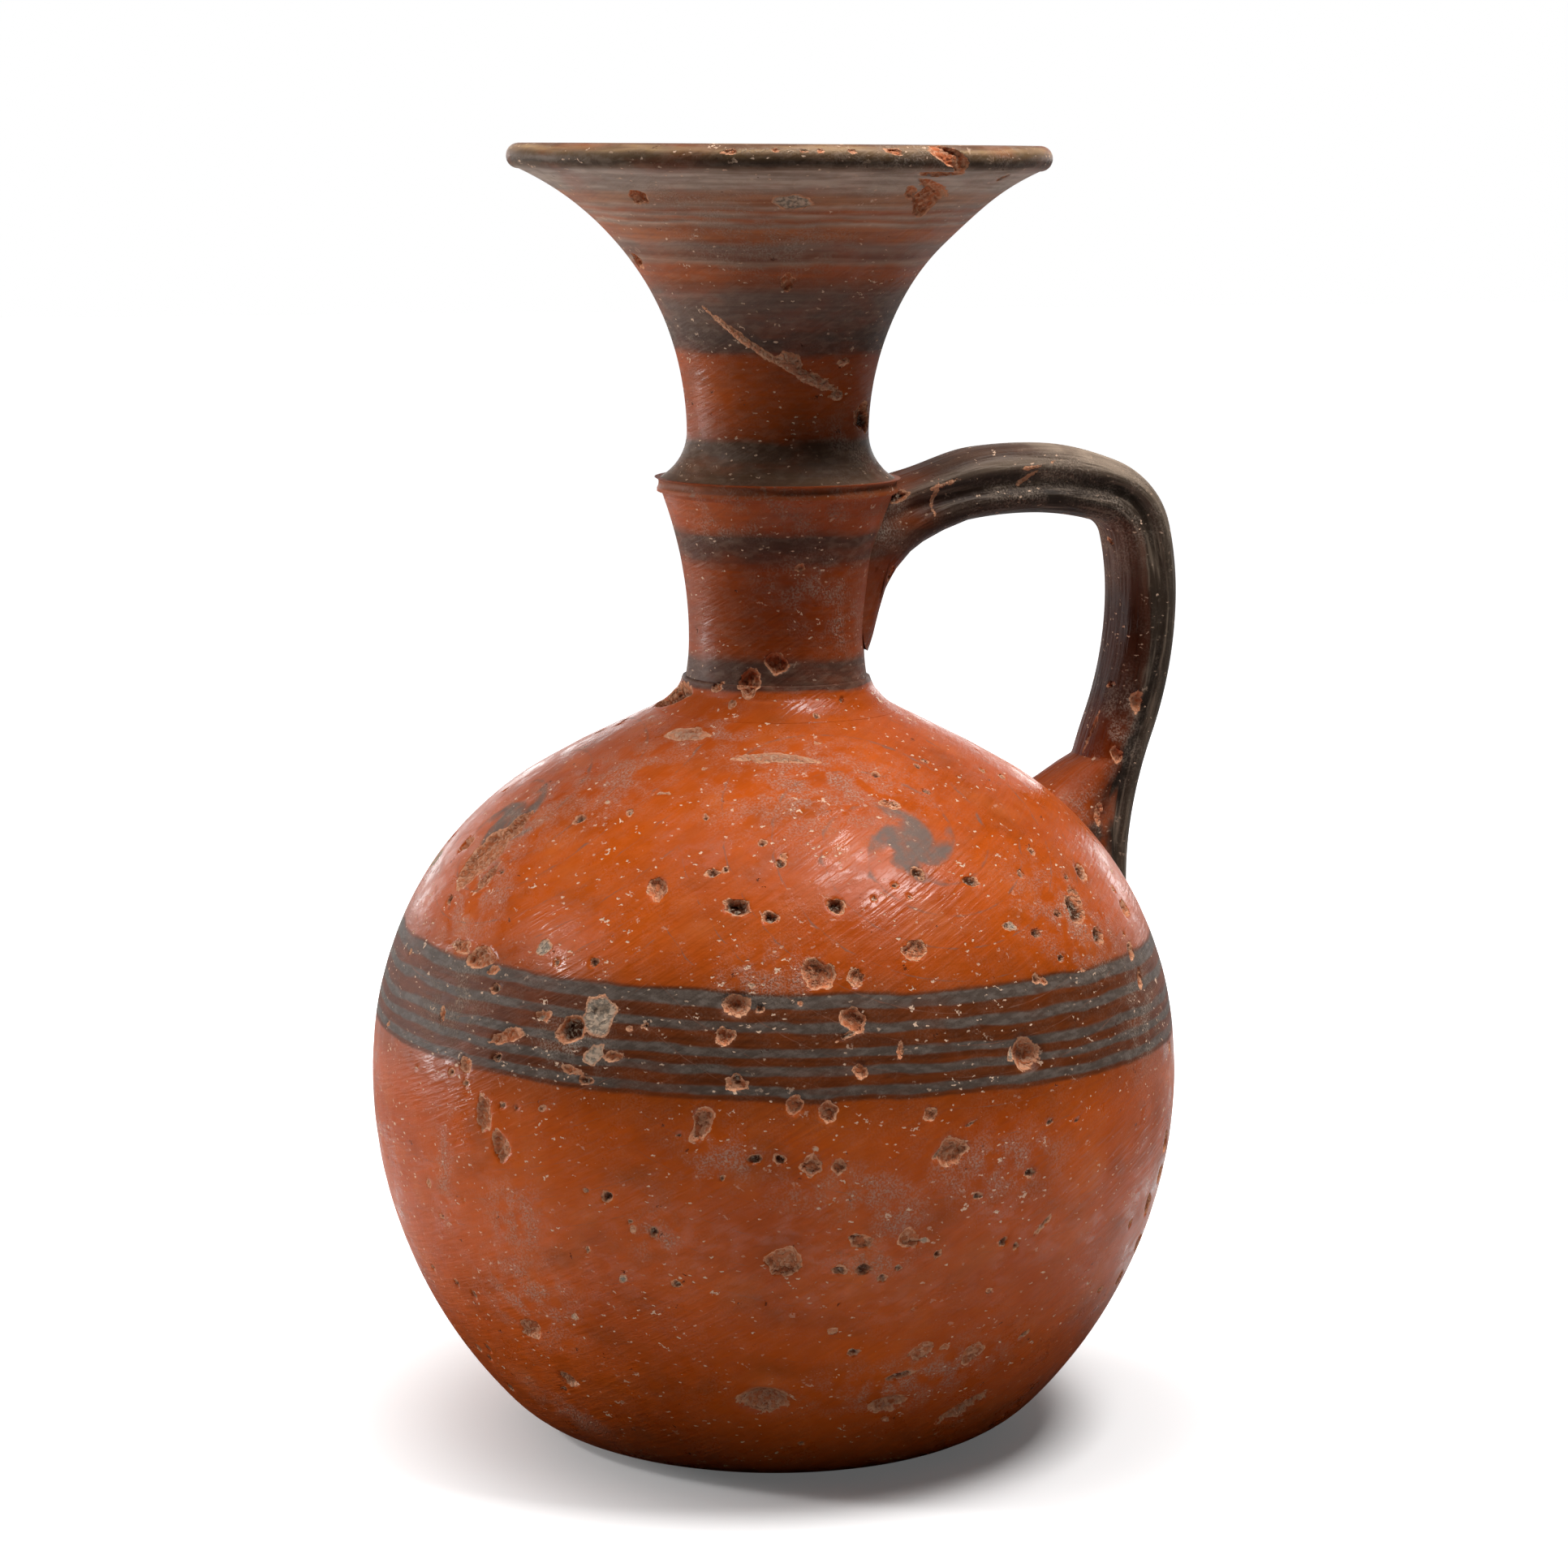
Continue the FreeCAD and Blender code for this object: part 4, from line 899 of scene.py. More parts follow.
def ridge_finish():
    """Dark red-brown paint over the ridge, heaviest in its groove and lighter towards its two edges."""
    material, tree, place, parts = new_material("ridge_red_paint")
    slip, stroke, mottle = slip_coat(tree, place)
    groove = soft_band(tree, parts[2], RIDGE_LEVEL + 0.45, RIDGE_TOP - 0.15, 0.12)
    worn = patches(tree, place, 2.5, 0.35, 0.6, detail=4.0)
    colour = coats(tree, slip, [
        (0.55, linear("#8e5232")),
        (product(tree, groove, total(tree, (worn, 0.6), 0.4)), linear("#7d4428")),
        (product(tree, patches(tree, place, 1.2, 0.6, 0.7, detail=4.0, shift=4.0), 0.5), linear("#8c7a68")),
    ])
    relief = total(tree, (stroke, 0.01), (mottle, 0.02))
    colour, rough, relief = worn_clay(tree, place, colour, 0.5, relief)
    return finish_surface(material, tree, colour, rough, relief, 1.0)


def strap_finish(name, clay_share):
    """Hand-smoothed strap: matt dark brown paint, streaked lengthwise, thin over red clay, with a painted highlight
    along its outer crest.
    """
    material, tree, place, parts = new_material(name)
    along, across, outward = attribute(tree, "along"), attribute(tree, "across"), attribute(tree, "outward")
    lengthwise = add(tree, "CombineXYZ", None, {0: product(tree, along, 0.09), 1: across, 2: outward}).outputs[0]
    streak = patches(tree, lengthwise, 0.9, 0.38, 0.62, detail=4.0)
    broad = patches(tree, lengthwise, 2.0, 0.4, 0.6, detail=3.0, shift=2.7)
    cloud = patches(tree, place, 5.0, 0.35, 0.65, detail=4.0, shift=5.5)
    slip, stroke, mottle = slip_coat(tree, place)
    slip, banded, streak_round = brushed(tree, place, parts[2], NECK_LEVELS, slip)
    lower = add(tree, "MapRange", {"interpolation_type": "SMOOTHSTEP"}, {0: parts[2], 1: 86.0, 2: 74.0}).outputs[0]
    neck_side = add(tree, "MapRange", {"interpolation_type": "SMOOTHSTEP"}, {0: along, 1: 12.0, 2: 4.0}).outputs[0]
    red = add(tree, "Math", {"operation": "MAXIMUM"}, {0: lower, 1: neck_side}).outputs[0]
    dull = coats(tree, linear("#3c1d10"), [
        (product(tree, cloud, 0.4), linear("#5c301d")), (product(tree, streak, 0.4), linear("#32180d")),
        (product(tree, red, 0.66), slip),
    ])
    paint = coats(tree, linear("#271e18"), [
        (product(tree, streak, 0.6), linear("#211913")),
        (product(tree, broad, 0.4), linear("#4c3e32")),
        (product(tree, patches(tree, lengthwise, 0.7, 0.5, 0.7, detail=4.0, shift=8.1), 0.5), linear("#8f7d6c")),
        (product(tree, patches(tree, place, 0.9, 0.6, 0.75, detail=4.0, shift=6.1), 0.25), linear("#9c8874")),
    ])
    vertical_run = add(tree, "MapRange", {"interpolation_type": "SMOOTHSTEP"},
                       {0: along, 1: 30.0, 2: 44.0}).outputs[0]
    inner = add(tree, "MapRange", {"interpolation_type": "SMOOTHSTEP"},
                {0: total(tree, outward, (cloud, 0.8), -0.4, (streak, 0.7), -0.35, (vertical_run, -3.3)),
                 1: -4.9, 2: -3.6, 3: 0.0, 4: 1.0}).outputs[0]
    reach = total(tree, along, (cloud, 5.0), (across, 0.8))
    root = add(tree, "MapRange", {"interpolation_type": "SMOOTHSTEP"}, {0: reach, 1: 8.0, 2: 24.0}).outputs[0]
    crown_bare = product(tree, add(tree, "MapRange", {"interpolation_type": "SMOOTHSTEP"},
                                   {0: outward, 1: 1.6, 2: 3.0}).outputs[0],
                         add(tree, "MapRange", None, {0: reach, 1: 22.0, 2: 30.0, 3: 1.0, 4: 0.0}).outputs[0])
    foot = add(tree, "MapRange", {"interpolation_type": "SMOOTHSTEP"},
               {0: total(tree, (parts[2], 0.17), outward, (cloud, 1.2), (streak, 0.6)), 1: 10.9, 2: 12.9}).outputs[0]
    bow = product(tree, soft_band(tree, along, 38.0, 47.0, 4.0), total(tree, (inner, -1.0), 1.0))
    under = add(tree, "MapRange", {"interpolation_type": "SMOOTHSTEP"}, {0: outward, 1: 0.6, 2: -1.6}).outputs[0]
    swept = total(tree, (product(tree, under, neck_side), -1.0), 1.0)
    cover = product(tree, inner, foot, swept, total(tree, (crown_bare, -0.85), 1.0), total(tree, (root, 0.25), 0.75))
    # painted highlight: a pale grey-brown along the strap's outer crest, weaker down the vertical run
    painted_crest_highlight = product(tree, add(tree, "MapRange", {"interpolation_type": "SMOOTHSTEP"},
                                  {0: outward, 1: 0.9, 2: 2.5}).outputs[0],
                        total(tree, (vertical_run, -0.7), 0.85), total(tree, (streak, -0.4), 1.0))
    colour = coats(tree, dull, [
        (cover, paint),
        (product(tree, cover, painted_crest_highlight), linear("#a8937f")),
        (product(tree, bow, 0.3), linear("#8f7160")),
        (clay_share, linear("#8a4c2c")),
    ])
    rough = coats(tree, 0.45, [(cover, 0.5), (cloud, 0.55)], "FLOAT")
    relief = total(tree, (streak, 0.1), (broad, 0.08), (mottle, 0.02))
    colour, rough, relief = worn_clay(tree, place, colour, rough, relief)
    return finish_surface(material, tree, colour, rough, relief, 1.0)


def cut_away(piece, chosen, name):
    """Take the chosen faces off as a piece of their own, and close both where they parted."""
    bpy.ops.object.select_all(action="DESELECT")
    bpy.context.view_layer.objects.active = piece
    piece.select_set(True)
    bpy.ops.object.mode_set(mode="EDIT")
    bpy.ops.mesh.select_mode(type="FACE")
    bpy.ops.mesh.select_all(action="DESELECT")
    bpy.ops.object.mode_set(mode="OBJECT")
    piece.data.polygons.foreach_set("select", chosen)
    bpy.ops.object.mode_set(mode="EDIT")
    bpy.ops.mesh.separate(type="SELECTED")
    bpy.ops.object.mode_set(mode="OBJECT")
    part = next(thing for thing in bpy.context.selected_objects if thing != piece)
    part.name = name
    part.data.name = name
    for thing in (piece, part):
        bpy.ops.object.select_all(action="DESELECT")
        bpy.context.view_layer.objects.active = thing
        thing.select_set(True)
        bpy.ops.object.mode_set(mode="EDIT")
        bpy.ops.mesh.select_mode(type="VERT")
        bpy.ops.mesh.select_all(action="DESELECT")
        bpy.ops.mesh.select_non_manifold()
        bpy.ops.mesh.fill()
        bpy.ops.mesh.select_all(action="SELECT")
        bpy.ops.mesh.normals_make_consistent(inside=False)
        bpy.ops.object.mode_set(mode="OBJECT")
    return part


def face_means(piece, name):
    """A point attribute's mean on each face."""
    values = np.zeros(len(piece.data.vertices), dtype=np.float32)
    piece.data.attributes[name].data.foreach_get("value", values)
    return np.array([values[list(face.vertices)].mean() for face in piece.data.polygons])


def split_strap(strap):
    """Part the strap from the clay pressed under its top and drawn out at its foot."""
    along, outward = face_means(strap, "along"), face_means(strap, "outward")
    wedge = (along < 15) & (outward < -0.35 * HANDLE_HALF_THICKNESS)
    top_luting = cut_away(strap, wedge, "clay_handle_top_luting")
    along, outward = face_means(strap, "along"), face_means(strap, "outward")
    foot = (along > 63.5) & (outward < -0.3 * HANDLE_HALF_THICKNESS) & (along < 82)
    foot_luting = cut_away(strap, foot, "clay_handle_foot_luting")
    return top_luting, foot_luting


def smooth(piece, degrees):
    bpy.ops.object.select_all(action="DESELECT")
    bpy.context.view_layer.objects.active = piece
    piece.select_set(True)
    bpy.ops.object.shade_smooth_by_angle(angle=math.radians(degrees))


# Wear read off the photograph, by kind: across and down in its pixels, width, height, and
# tilt in degrees (up to the right). Sizes turn into millimetres where each one meets the clay.
PITS = (
    (714, 1009, 18, 10, 0), (776, 1001, 9, 8, 0), (869, 1007, 9, 7, 0), (939, 1039, 10, 9, 0),
    (961, 1064, 13, 11, 20), (878, 1076, 18, 10, 0), (894, 1072, 8, 7, 0), (908, 1118, 34, 22, -10),
    (949, 1131, 21, 14, 0), (732, 1186, 14, 11, 0), (611, 1218, 13, 13, 0), (554, 1108, 8, 12, 0),
    (1030, 1116, 23, 19, 0), (1130, 1075, 19, 11, 0), (1136, 1081, 10, 6, 0), (1196, 1086, 21, 12, 0),
    (1258, 1077, 10, 9, 0), (1271, 1049, 8, 7, 0), (1332, 1075, 17, 16, 0), (1325, 1121, 26, 30, -50),
    (1304, 1126, 12, 9, 0), (1353, 1153, 13, 22, 0), (1277, 1150, 15, 12, 0), (1131, 944, 9, 5, -30),
    (1037, 862, 7, 8, 0), (1006, 883, 6, 6, 0), (796, 1264, 9, 9, 0), (612, 1303, 13, 13, 0),
    (705, 1268, 34, 38, 20), (722, 1331, 24, 11, 0), (556, 1321, 8, 9, 0), (574, 1335, 8, 8, 0),
    (908, 1329, 15, 16, 0), (1277, 1206, 11, 10, 0), (1308, 1181, 10, 10, 0), (619, 1362, 10, 8, 0),
    (636, 1365, 7, 7, 0), (1196, 1385, 24, 5, 25), (836, 1398, 11, 7, 0), (1293, 1383, 9, 8, 0),
    (1327, 1381, 7, 8, 0), (930, 1428, 22, 14, 0), (961, 1428, 16, 13, 0), (889, 1452, 9, 7, 0),
    (1270, 1445, 16, 12, 0), (748, 1474, 14, 15, 0), (776, 1505, 7, 7, 0), (805, 1518, 12, 16, 0),
    (722, 1467, 7, 7, 0), (1205, 1474, 14, 9, 0), (1287, 1507, 26, 5, 35), (1237, 1530, 15, 11, 40),
    (1252, 1535, 8, 9, 0), (584, 1596, 9, 10, 0), (563, 1582, 7, 9, 0), (528, 1592, 8, 14, -60),
    (602, 1662, 9, 7, 0), (604, 1674, 7, 7, 0), (591, 1662, 6, 7, 0), (630, 1710, 8, 7, 0),
    (1107, 1696, 46, 9, 4), (1262, 1644, 17, 6, 15), (1046, 1275, 34, 8, 25), (1155, 1422, 22, 6, 50),
    (1436, 1407, 10, 26, 0), (1429, 1446, 9, 20, 0), (1414, 1484, 10, 22, 0), (1402, 1532, 10, 20, 0),
    (1379, 1575, 8, 14, 0), (1240, 1141, 8, 7, 0), (1235, 957, 8, 5, 0), (1211, 949, 7, 5, 0),
    (1142, 975, 14, 5, -5), (1055, 1525, 18, 11, 0), (1034, 1565, 18, 11, 0), (1064, 1564, 20, 16, 0),
    (1107, 1562, 11, 9, 0), (1087, 1575, 13, 10, 0), (1155, 1546, 10, 10, 0), (1052, 1667, 17, 11, 0),
    (1393, 1172, 9, 20, 0), (1404, 1205, 9, 20, 0), (1236, 219, 17, 5, 12), (1066, 519, 12, 26, 0),
    (1098, 707, 7, 12, -20), (1345, 900, 22, 7, 45), (1369, 843, 8, 9, 0), (1106, 612, 26, 14, 25),
    (1369, 668, 7, 6, 0), (1352, 655, 6, 6, 0), (686, 1186, 7, 7, 0), (744, 1242, 9, 8, 0),
)
SPALLS = (
    (810, 1095, 26, 28, 0), (569, 1166, 26, 16, -30), (593, 1180, 40, 26, -20), (607, 1196, 20, 10, 0),
    (1127, 1171, 31, 23, 0), (1008, 1201, 46, 36, 0), (1055, 1206, 20, 24, 0), (669, 1251, 20, 14, 0),
    (893, 1277, 25, 22, 0), (757, 1302, 24, 14, 0), (705, 1319, 26, 12, -15), (624, 1277, 42, 18, 8),
    (574, 1312, 14, 20, 0), (908, 1336, 28, 18, 0), (1052, 1257, 32, 32, 0), (1109, 1296, 11, 20, 0),
    (1060, 1319, 16, 22, 0), (979, 1362, 24, 26, 0), (1020, 1370, 24, 28, 0), (1146, 1373, 18, 16, 0),
    (1000, 1436, 28, 24, 0), (1034, 1437, 18, 18, 0), (617, 1413, 22, 38, 0), (596, 1372, 18, 50, 0),
    (865, 1384, 28, 44, -20), (1173, 1419, 40, 34, 20), (1121, 1526, 28, 24, 0), (1062, 1530, 28, 18, 0),
    (966, 1555, 44, 40, 0), (654, 1637, 22, 30, -20), (1135, 1665, 34, 20, 5), (1198, 1667, 30, 22, 0),
    (924, 842, 28, 36, 10), (957, 818, 30, 28, 0), (884, 846, 13, 12, 0), (1097, 991, 24, 10, 0),
    (1172, 192, 50, 28, -15), (1150, 230, 16, 30, 30), (1142, 245, 38, 26, 0), (1122, 236, 14, 12, 0),
    (1103, 187, 22, 8, 0), (1050, 186, 9, 6, 0), (1010, 186, 8, 6, 0), (990, 186, 8, 5, 0),
    (955, 185, 9, 6, 0), (900, 187, 18, 7, 0), (970, 347, 20, 18, 0), (1062, 512, 18, 30, 0),
    (787, 243, 26, 12, 0), (1376, 930, 14, 22, 0), (1353, 1004, 11, 28, 0),
    (1434, 1185, 9, 34, 0), (1325, 1106, 26, 14, -40), (740, 1246, 26, 18, 0),
    (902, 868, 10, 12, 0), (1386, 1120, 12, 18, 0), (690, 1276, 14, 10, 0),
    (583, 1066, 44, 34, 45), (606, 1046, 52, 34, 42), (634, 1020, 36, 22, 40), (600, 1082, 36, 14, 30),
    (575, 1040, 18, 12, 40), (650, 1004, 16, 10, 30), (1160, 214, 16, 26, 60),
    (545, 1250, 8, 16, 0), (857, 900, 18, 8, -20), (985, 700, 10, 10, 0), (786, 322, 16, 10, 0),
)
BOWLS = (
    (907, 1238, 48, 40, 0), (1266, 1299, 50, 58, 0), (941, 1728, 98, 46, 0), (1094, 1731, 74, 27, 0),
    (1187, 1736, 82, 25, 8), (1370, 1640, 12, 30, 30), (700, 1700, 30, 18, -20), (1401, 866, 26, 38, 0),
)
WEALS = (
    (918, 420, 106, 9, -32), (990, 462, 106, 13, -30), (974, 445, 36, 20, -30), (1030, 488, 20, 12, -20),
    (956, 934, 98, 13, -3), (846, 905, 62, 14, -32), (817, 978, 26, 5, -20), (1040, 446, 16, 8, 0), (1160, 598, 40, 5, 12), (1150, 612, 30, 4, 60),
    (1275, 575, 34, 4, 10), (1262, 590, 30, 4, 25),
)
LIMES = (
    (884, 846, 11, 11, 0), (1246, 1141, 18, 10, 0), (738, 1252, 44, 50, 10), (732, 1300, 30, 22, 20),
    (712, 1262, 18, 12, 0), (907, 1125, 16, 8, 0), (949, 1135, 12, 6, 0), (812, 1100, 16, 12, 0),
    (1008, 1203, 22, 18, 0), (976, 249, 52, 14, 0), (670, 1168, 22, 18, 0), (1001, 1437, 18, 12, 0),
    (768, 1576, 12, 10, 0), (1246, 1300, 10, 16, 0), (930, 1430, 12, 7, 0), (1138, 1528, 14, 10, 0),
)
# Grey-white incrustation, soft patches
CRUSTS = (
    (1000, 730, 120, 90, 0), (1040, 770, 50, 60, 0), (1085, 650, 60, 40, 0), (960, 640, 220, 44, 0),
    (960, 620, 200, 30, 0), (750, 960, 190, 80, 25), (640, 1010, 150, 90, 40), (870, 905, 110, 50, -20),
    (590, 1100, 110, 90, 50), (545, 1440, 26, 150, 0), (635, 1505, 80, 90, 0), (812, 1525, 60, 66, 0),
    (1050, 1470, 190, 60, 0), (1110, 1500, 80, 60, 0), (700, 1290, 90, 70, 0), (1075, 1550, 110, 50, 0),
    (1000, 970, 260, 120, 0), (1330, 1140, 150, 110, 0), (1230, 1440, 180, 90, 0), (890, 1430, 130, 60, 0),
    (560, 1230, 90, 90, 0), (950, 1200, 140, 60, 0), (1410, 1250, 50, 160, 0), (860, 255, 220, 40, 0),
    (1100, 215, 160, 50, 0), (1230, 215, 80, 30, 0), (950, 185, 120, 10, 0), (1080, 185, 70, 10, 0),
    (880, 650, 50, 40, 0), (1360, 650, 80, 60, 0), (1380, 900, 60, 120, 0), (1330, 1000, 60, 70, 0),
    (1280, 590, 160, 40, 0), (1440, 640, 30, 120, 0), (700, 1740, 120, 40, 0), (1130, 1700, 240, 70, 0),
    (650, 1600, 120, 120, 0), (940, 300, 240, 60, 0), (1100, 620, 50, 40, 0), (1060, 560, 80, 40, 0),
)
# The break at the neck's foot
GAPS = ((829, 857, 26, 34, 40), (818, 866, 16, 18, 30))

# Each kind: depth as a share of its lesser half width, most depth in mm, wall share, how
# irregular its edge is, how much painted shade darkens its bottom, how pale
KINDS = {
    "pit": (0.85, 0.85, 0.55, 0.16, 1.0, 0.0),
    "spall": (0.5, 0.7, 0.35, 0.17, 0.0, 0.06),
    "bowl": (0.62, 1.7, 1.0, 0.07, 0.3, 0.0),
    "weal": (-0.25, -0.16, 0.7, 0.12, 0.0, 0.25),
    "lime": (0.05, 0.08, 0.5, 0.2, 0.0, 1.0),
    "gap": (1.6, 2.4, 0.45, 0.12, 1.0, 0.0),
}
MARK_MARGIN = 0.75


def clay_hit(pieces, start, ray):
    """The nearest place where a ray meets the clay, in mm, and the surface's normal there."""
    found = []
    for piece in pieces:
        met, place, normal, face = piece.ray_cast(start, ray)
        if met:
            found.append(((place - start).length, place / MM, normal))
    return min(found, key=lambda hit: hit[0])[1:] if found else None


def photo_marks(camera, pieces, kind, marks):
    """Marks given in the photograph's pixels, laid on the clay: place, axes, half sizes."""
    right, up, back = camera.matrix_world.to_3x3().transposed()
    laid = []
    for across, down, width, height, tilt in marks:
        start, ray = photo_ray(camera, across, down)
        hit = clay_hit(pieces, start, ray)
        if hit is None:
            continue
        place, normal = hit
        first = (right - normal * right.dot(normal)).normalized()
        second = normal.cross(first)
        scale = FOCAL_PIXELS / ((place - start / MM).dot(-back))
        half_width = width / 2 / scale / max(abs(first.dot(right)), 0.35)
        half_height = height / 2 / scale / max(abs(second.dot(up)), 0.35)
        laid.append((kind, place, normal, first, second, half_width, half_height, math.radians(tilt)))
    return laid


def scattered_marks(pieces, camera, count, spread, seed, unseen=True):
    """Marks strewn by a seeded hand: of all sizes on the unseen sides, or small ones all round."""
    hand = random.Random(seed)
    away = Vector((-math.sin(VIEW_AZIMUTH), math.cos(VIEW_AZIMUTH), 0))
    laid = []
    while len(laid) < count:
        azimuth = hand.uniform(0, math.tau)
        level = hand.uniform(*spread)
        side = Vector((math.cos(azimuth), math.sin(azimuth), 0))
        if unseen and side.dot(away) < -0.1:
            continue
        start = side * 0.2 + Vector((0, 0, level * MM))
        hit = clay_hit(pieces, start, -side)
        if hit is None:
            continue
        place, normal = hit
        first = Vector((0, 0, 1)).cross(normal).normalized()
        size = min(0.28 * hand.lognormvariate(0.35, 0.6), 2.2) if unseen else hand.uniform(0.26, 0.48)
        kind = hand.choice(("pit", "pit", "spall", "spall", "lime"))
        laid.append((kind, place, normal, first, normal.cross(first), size * hand.uniform(1, 1.6), size,
                     hand.uniform(-0.6, 0.6)))
    return laid


def refine_near(piece, marks):
    """Split the faces round the marks, so that their walls and edges have points to stand on."""
    places = coordinates(piece)
    middles = np.array([places[list(face.vertices)].mean(axis=0) for face in piece.data.polygons])
    near = np.zeros(len(middles), dtype=bool)
    for kind, place, normal, first, second, half_width, half_height, tilt in marks:
        gap = middles - np.array(place)
        along = gap @ np.array(first)
        up = gap @ np.array(second)
        turned = along * math.cos(tilt) + up * math.sin(tilt)
        over = up * math.cos(tilt) - along * math.sin(tilt)
        close = (np.abs(turned) < half_width * 1.25 + MARK_MARGIN) & (np.abs(over) < half_height * 1.25 + MARK_MARGIN)
        near |= close & (np.abs(gap @ np.array(normal)) < 2.4)
    if not near.any():
        return
    bpy.ops.object.select_all(action="DESELECT")
    bpy.context.view_layer.objects.active = piece
    piece.select_set(True)
    bpy.ops.object.mode_set(mode="EDIT")
    bpy.ops.mesh.select_mode(type="FACE")
    bpy.ops.mesh.select_all(action="DESELECT")
    bpy.ops.object.mode_set(mode="OBJECT")
    piece.data.polygons.foreach_set("select", near)
    bpy.ops.object.mode_set(mode="EDIT")
    cuts = 2 if "neck" in piece.name else 3
    bpy.ops.mesh.subdivide(number_cuts=cuts, smoothness=0.0 if "handle" in piece.name else 1.0)
    bpy.ops.object.mode_set(mode="OBJECT")


def carve(piece, marks):
    """Sink the marks into the clay, and note where bare clay and lime show and how much painted shade darkens each
    bottom.
    """
    refine_near(piece, marks)
    places = coordinates(piece)
    rest = places.copy()
    bare = np.full(len(places), -2.0)
    hole_shade = np.zeros(len(places))
    pale = np.zeros(len(places))
    sunk = np.zeros(len(places))
    for number, mark in enumerate(marks):
        kind, place, normal, first, second, half_width, half_height, tilt = mark
        share, most, wall, rough, dark, light = KINDS[kind]
        gap = rest - np.array(place)
        reach = max(half_width, half_height) * 1.5 + 0.9
        depth_limit = 4.5 if kind == "gap" else 2.4
        close = np.flatnonzero((np.einsum("ij,ij->i", gap, gap) < reach * reach)
                               & (np.abs(gap @ np.array(normal)) < depth_limit))
        if not len(close):
            continue
        gap = gap[close]
        along, up = gap @ np.array(first), gap @ np.array(second)
        turned = (along * math.cos(tilt) + up * math.sin(tilt)) / half_width
        over = (up * math.cos(tilt) - along * math.sin(tilt)) / half_height
        hand = random.Random(number * 7 + len(kind))
        angle = np.arctan2(over, turned)
        edge = np.ones(len(close))
        for lobes in range(2, 8):
            edge += rough * 1.5 / lobes * math.cos(hand.uniform(0, 7)) * np.cos(lobes * angle + hand.uniform(0, 7))
        inside = 1 - np.hypot(turned, over) / edge
        lesser = min(half_width, half_height)
        depth = min(lesser * share, most) if share > 0 else max(lesser * share, most)
        floor_share = smooth_share(inside, 0, wall)
        deep = np.flatnonzero(floor_share > 0)
        grain = np.zeros(len(close))
        for index in deep:
            grain[index] = noise.noise(Vector(rest[close[index]]) * 1.9) * 0.3
            grain[index] += noise.noise(Vector(rest[close[index]]) * 4.3) * 0.2
        if kind == "bowl":
            grain *= 0.3
        sink = depth * floor_share * (1 + grain)
        deeper = np.abs(sink) > np.abs(sunk[close])
        sunk[close] = np.where(deeper, sink, sunk[close])
        places[close] = np.where(deeper[:, None], rest[close] - np.outer(sink, np.array(normal)), places[close])
        shown = (inside - 0.3) * lesser * 0.6 if kind == "bowl" else inside * lesser
        wins = shown > bare[close]
        bare[close] = np.where(wins, shown, bare[close])
        # how much painted shade the mark's bottom gets, most towards its middle
        bottom = dark * smooth_share(inside, 0.12, 0.5)
        hole_shade[close] = np.where(wins | (bottom > hole_shade[close]), np.where(dark > 0, bottom, 0), hole_shade[close])
        pale[close] = np.where(wins, light * smooth_share(inside, 0, 0.2), pale[close])
    move_points(piece, places)
    write_attribute(piece, "bare", bare)
    write_attribute(piece, "hole_shade", hole_shade)
    write_attribute(piece, "pale", pale)


def encrust(piece, patches_laid):
    """Soft patches where grey-white deposit clings."""
    places = coordinates(piece)
    crust = np.full(len(places), 0.1)
    for kind, place, normal, first, second, half_width, half_height, tilt in patches_laid:
        gap = places - np.array(place)
        along, up = gap @ np.array(first), gap @ np.array(second)
        turned = (along * math.cos(tilt) + up * math.sin(tilt)) / half_width
        over = (up * math.cos(tilt) - along * math.sin(tilt)) / half_height
        near = np.exp(-(turned ** 2 + over ** 2) * 1.1) * (np.abs(gap @ np.array(normal)) < 8)
        crust = np.maximum(crust, near)
    write_attribute(piece, "crust", crust)


# The real shoulder is a little fuller than the solid's arc: by height, in millimetres
SHOULDER_LEVELS = (46, 57, 62, 68, 76, 80, 83.5, 85.5, 90)
SHOULDER_FULLNESS = (0.0, 0.35, 0.55, 0.8, 0.95, 0.9, 0.5, 0.25, 0.0)


def settle(piece):
    """Draw the wall in by a hair here and there, as hand-thrown clay has it."""
    places = coordinates(piece)
    radius = np.hypot(places[:, 0], places[:, 1])
    drawn = np.zeros(len(places))
    for index, place in enumerate(places):
        low = noise.noise(Vector((place[0], place[1], place[2] * 1.8)) * 0.06)
        fine = noise.noise(Vector((place[0] * 0.5, place[1] * 0.5, place[2] * 1.6)) * 0.24)
        drawn[index] = 0.12 * (low + 1) / 2 + 0.05 * (fine + 1) / 2
    factor = 1 - drawn / np.maximum(radius, 3)
    level = places[:, 2].copy()
    lean_r, lean_z = radius - shoulder_centre[0], level - shoulder_centre[1]
    size = np.maximum(np.hypot(lean_r, lean_z), 1)
    fuller = np.interp(level, SHOULDER_LEVELS, SHOULDER_FULLNESS) * (radius > 12)
    factor += fuller * lean_r / size / np.maximum(radius, 3)
    places[:, 2] += fuller * lean_z / size * (level < 90)
    toward_right = places[:, 0] * math.cos(VIEW_AZIMUTH) + places[:, 1] * math.sin(VIEW_AZIMUTH)
    side = np.clip(toward_right / np.maximum(radius, 3), 0, 1)
    factor += 0.5 * side * np.exp(-((level - 141.5) / 3.5) ** 2) / np.maximum(radius, 3)
    factor += 0.3 * smooth_share(level, RIDGE_TOP - 0.3, RIDGE_TOP) * (radius > 13.9) * (level < RIDGE_TOP + 0.01) / 14
    places[:, 0] *= factor
    places[:, 1] *= factor
    move_points(piece, places)


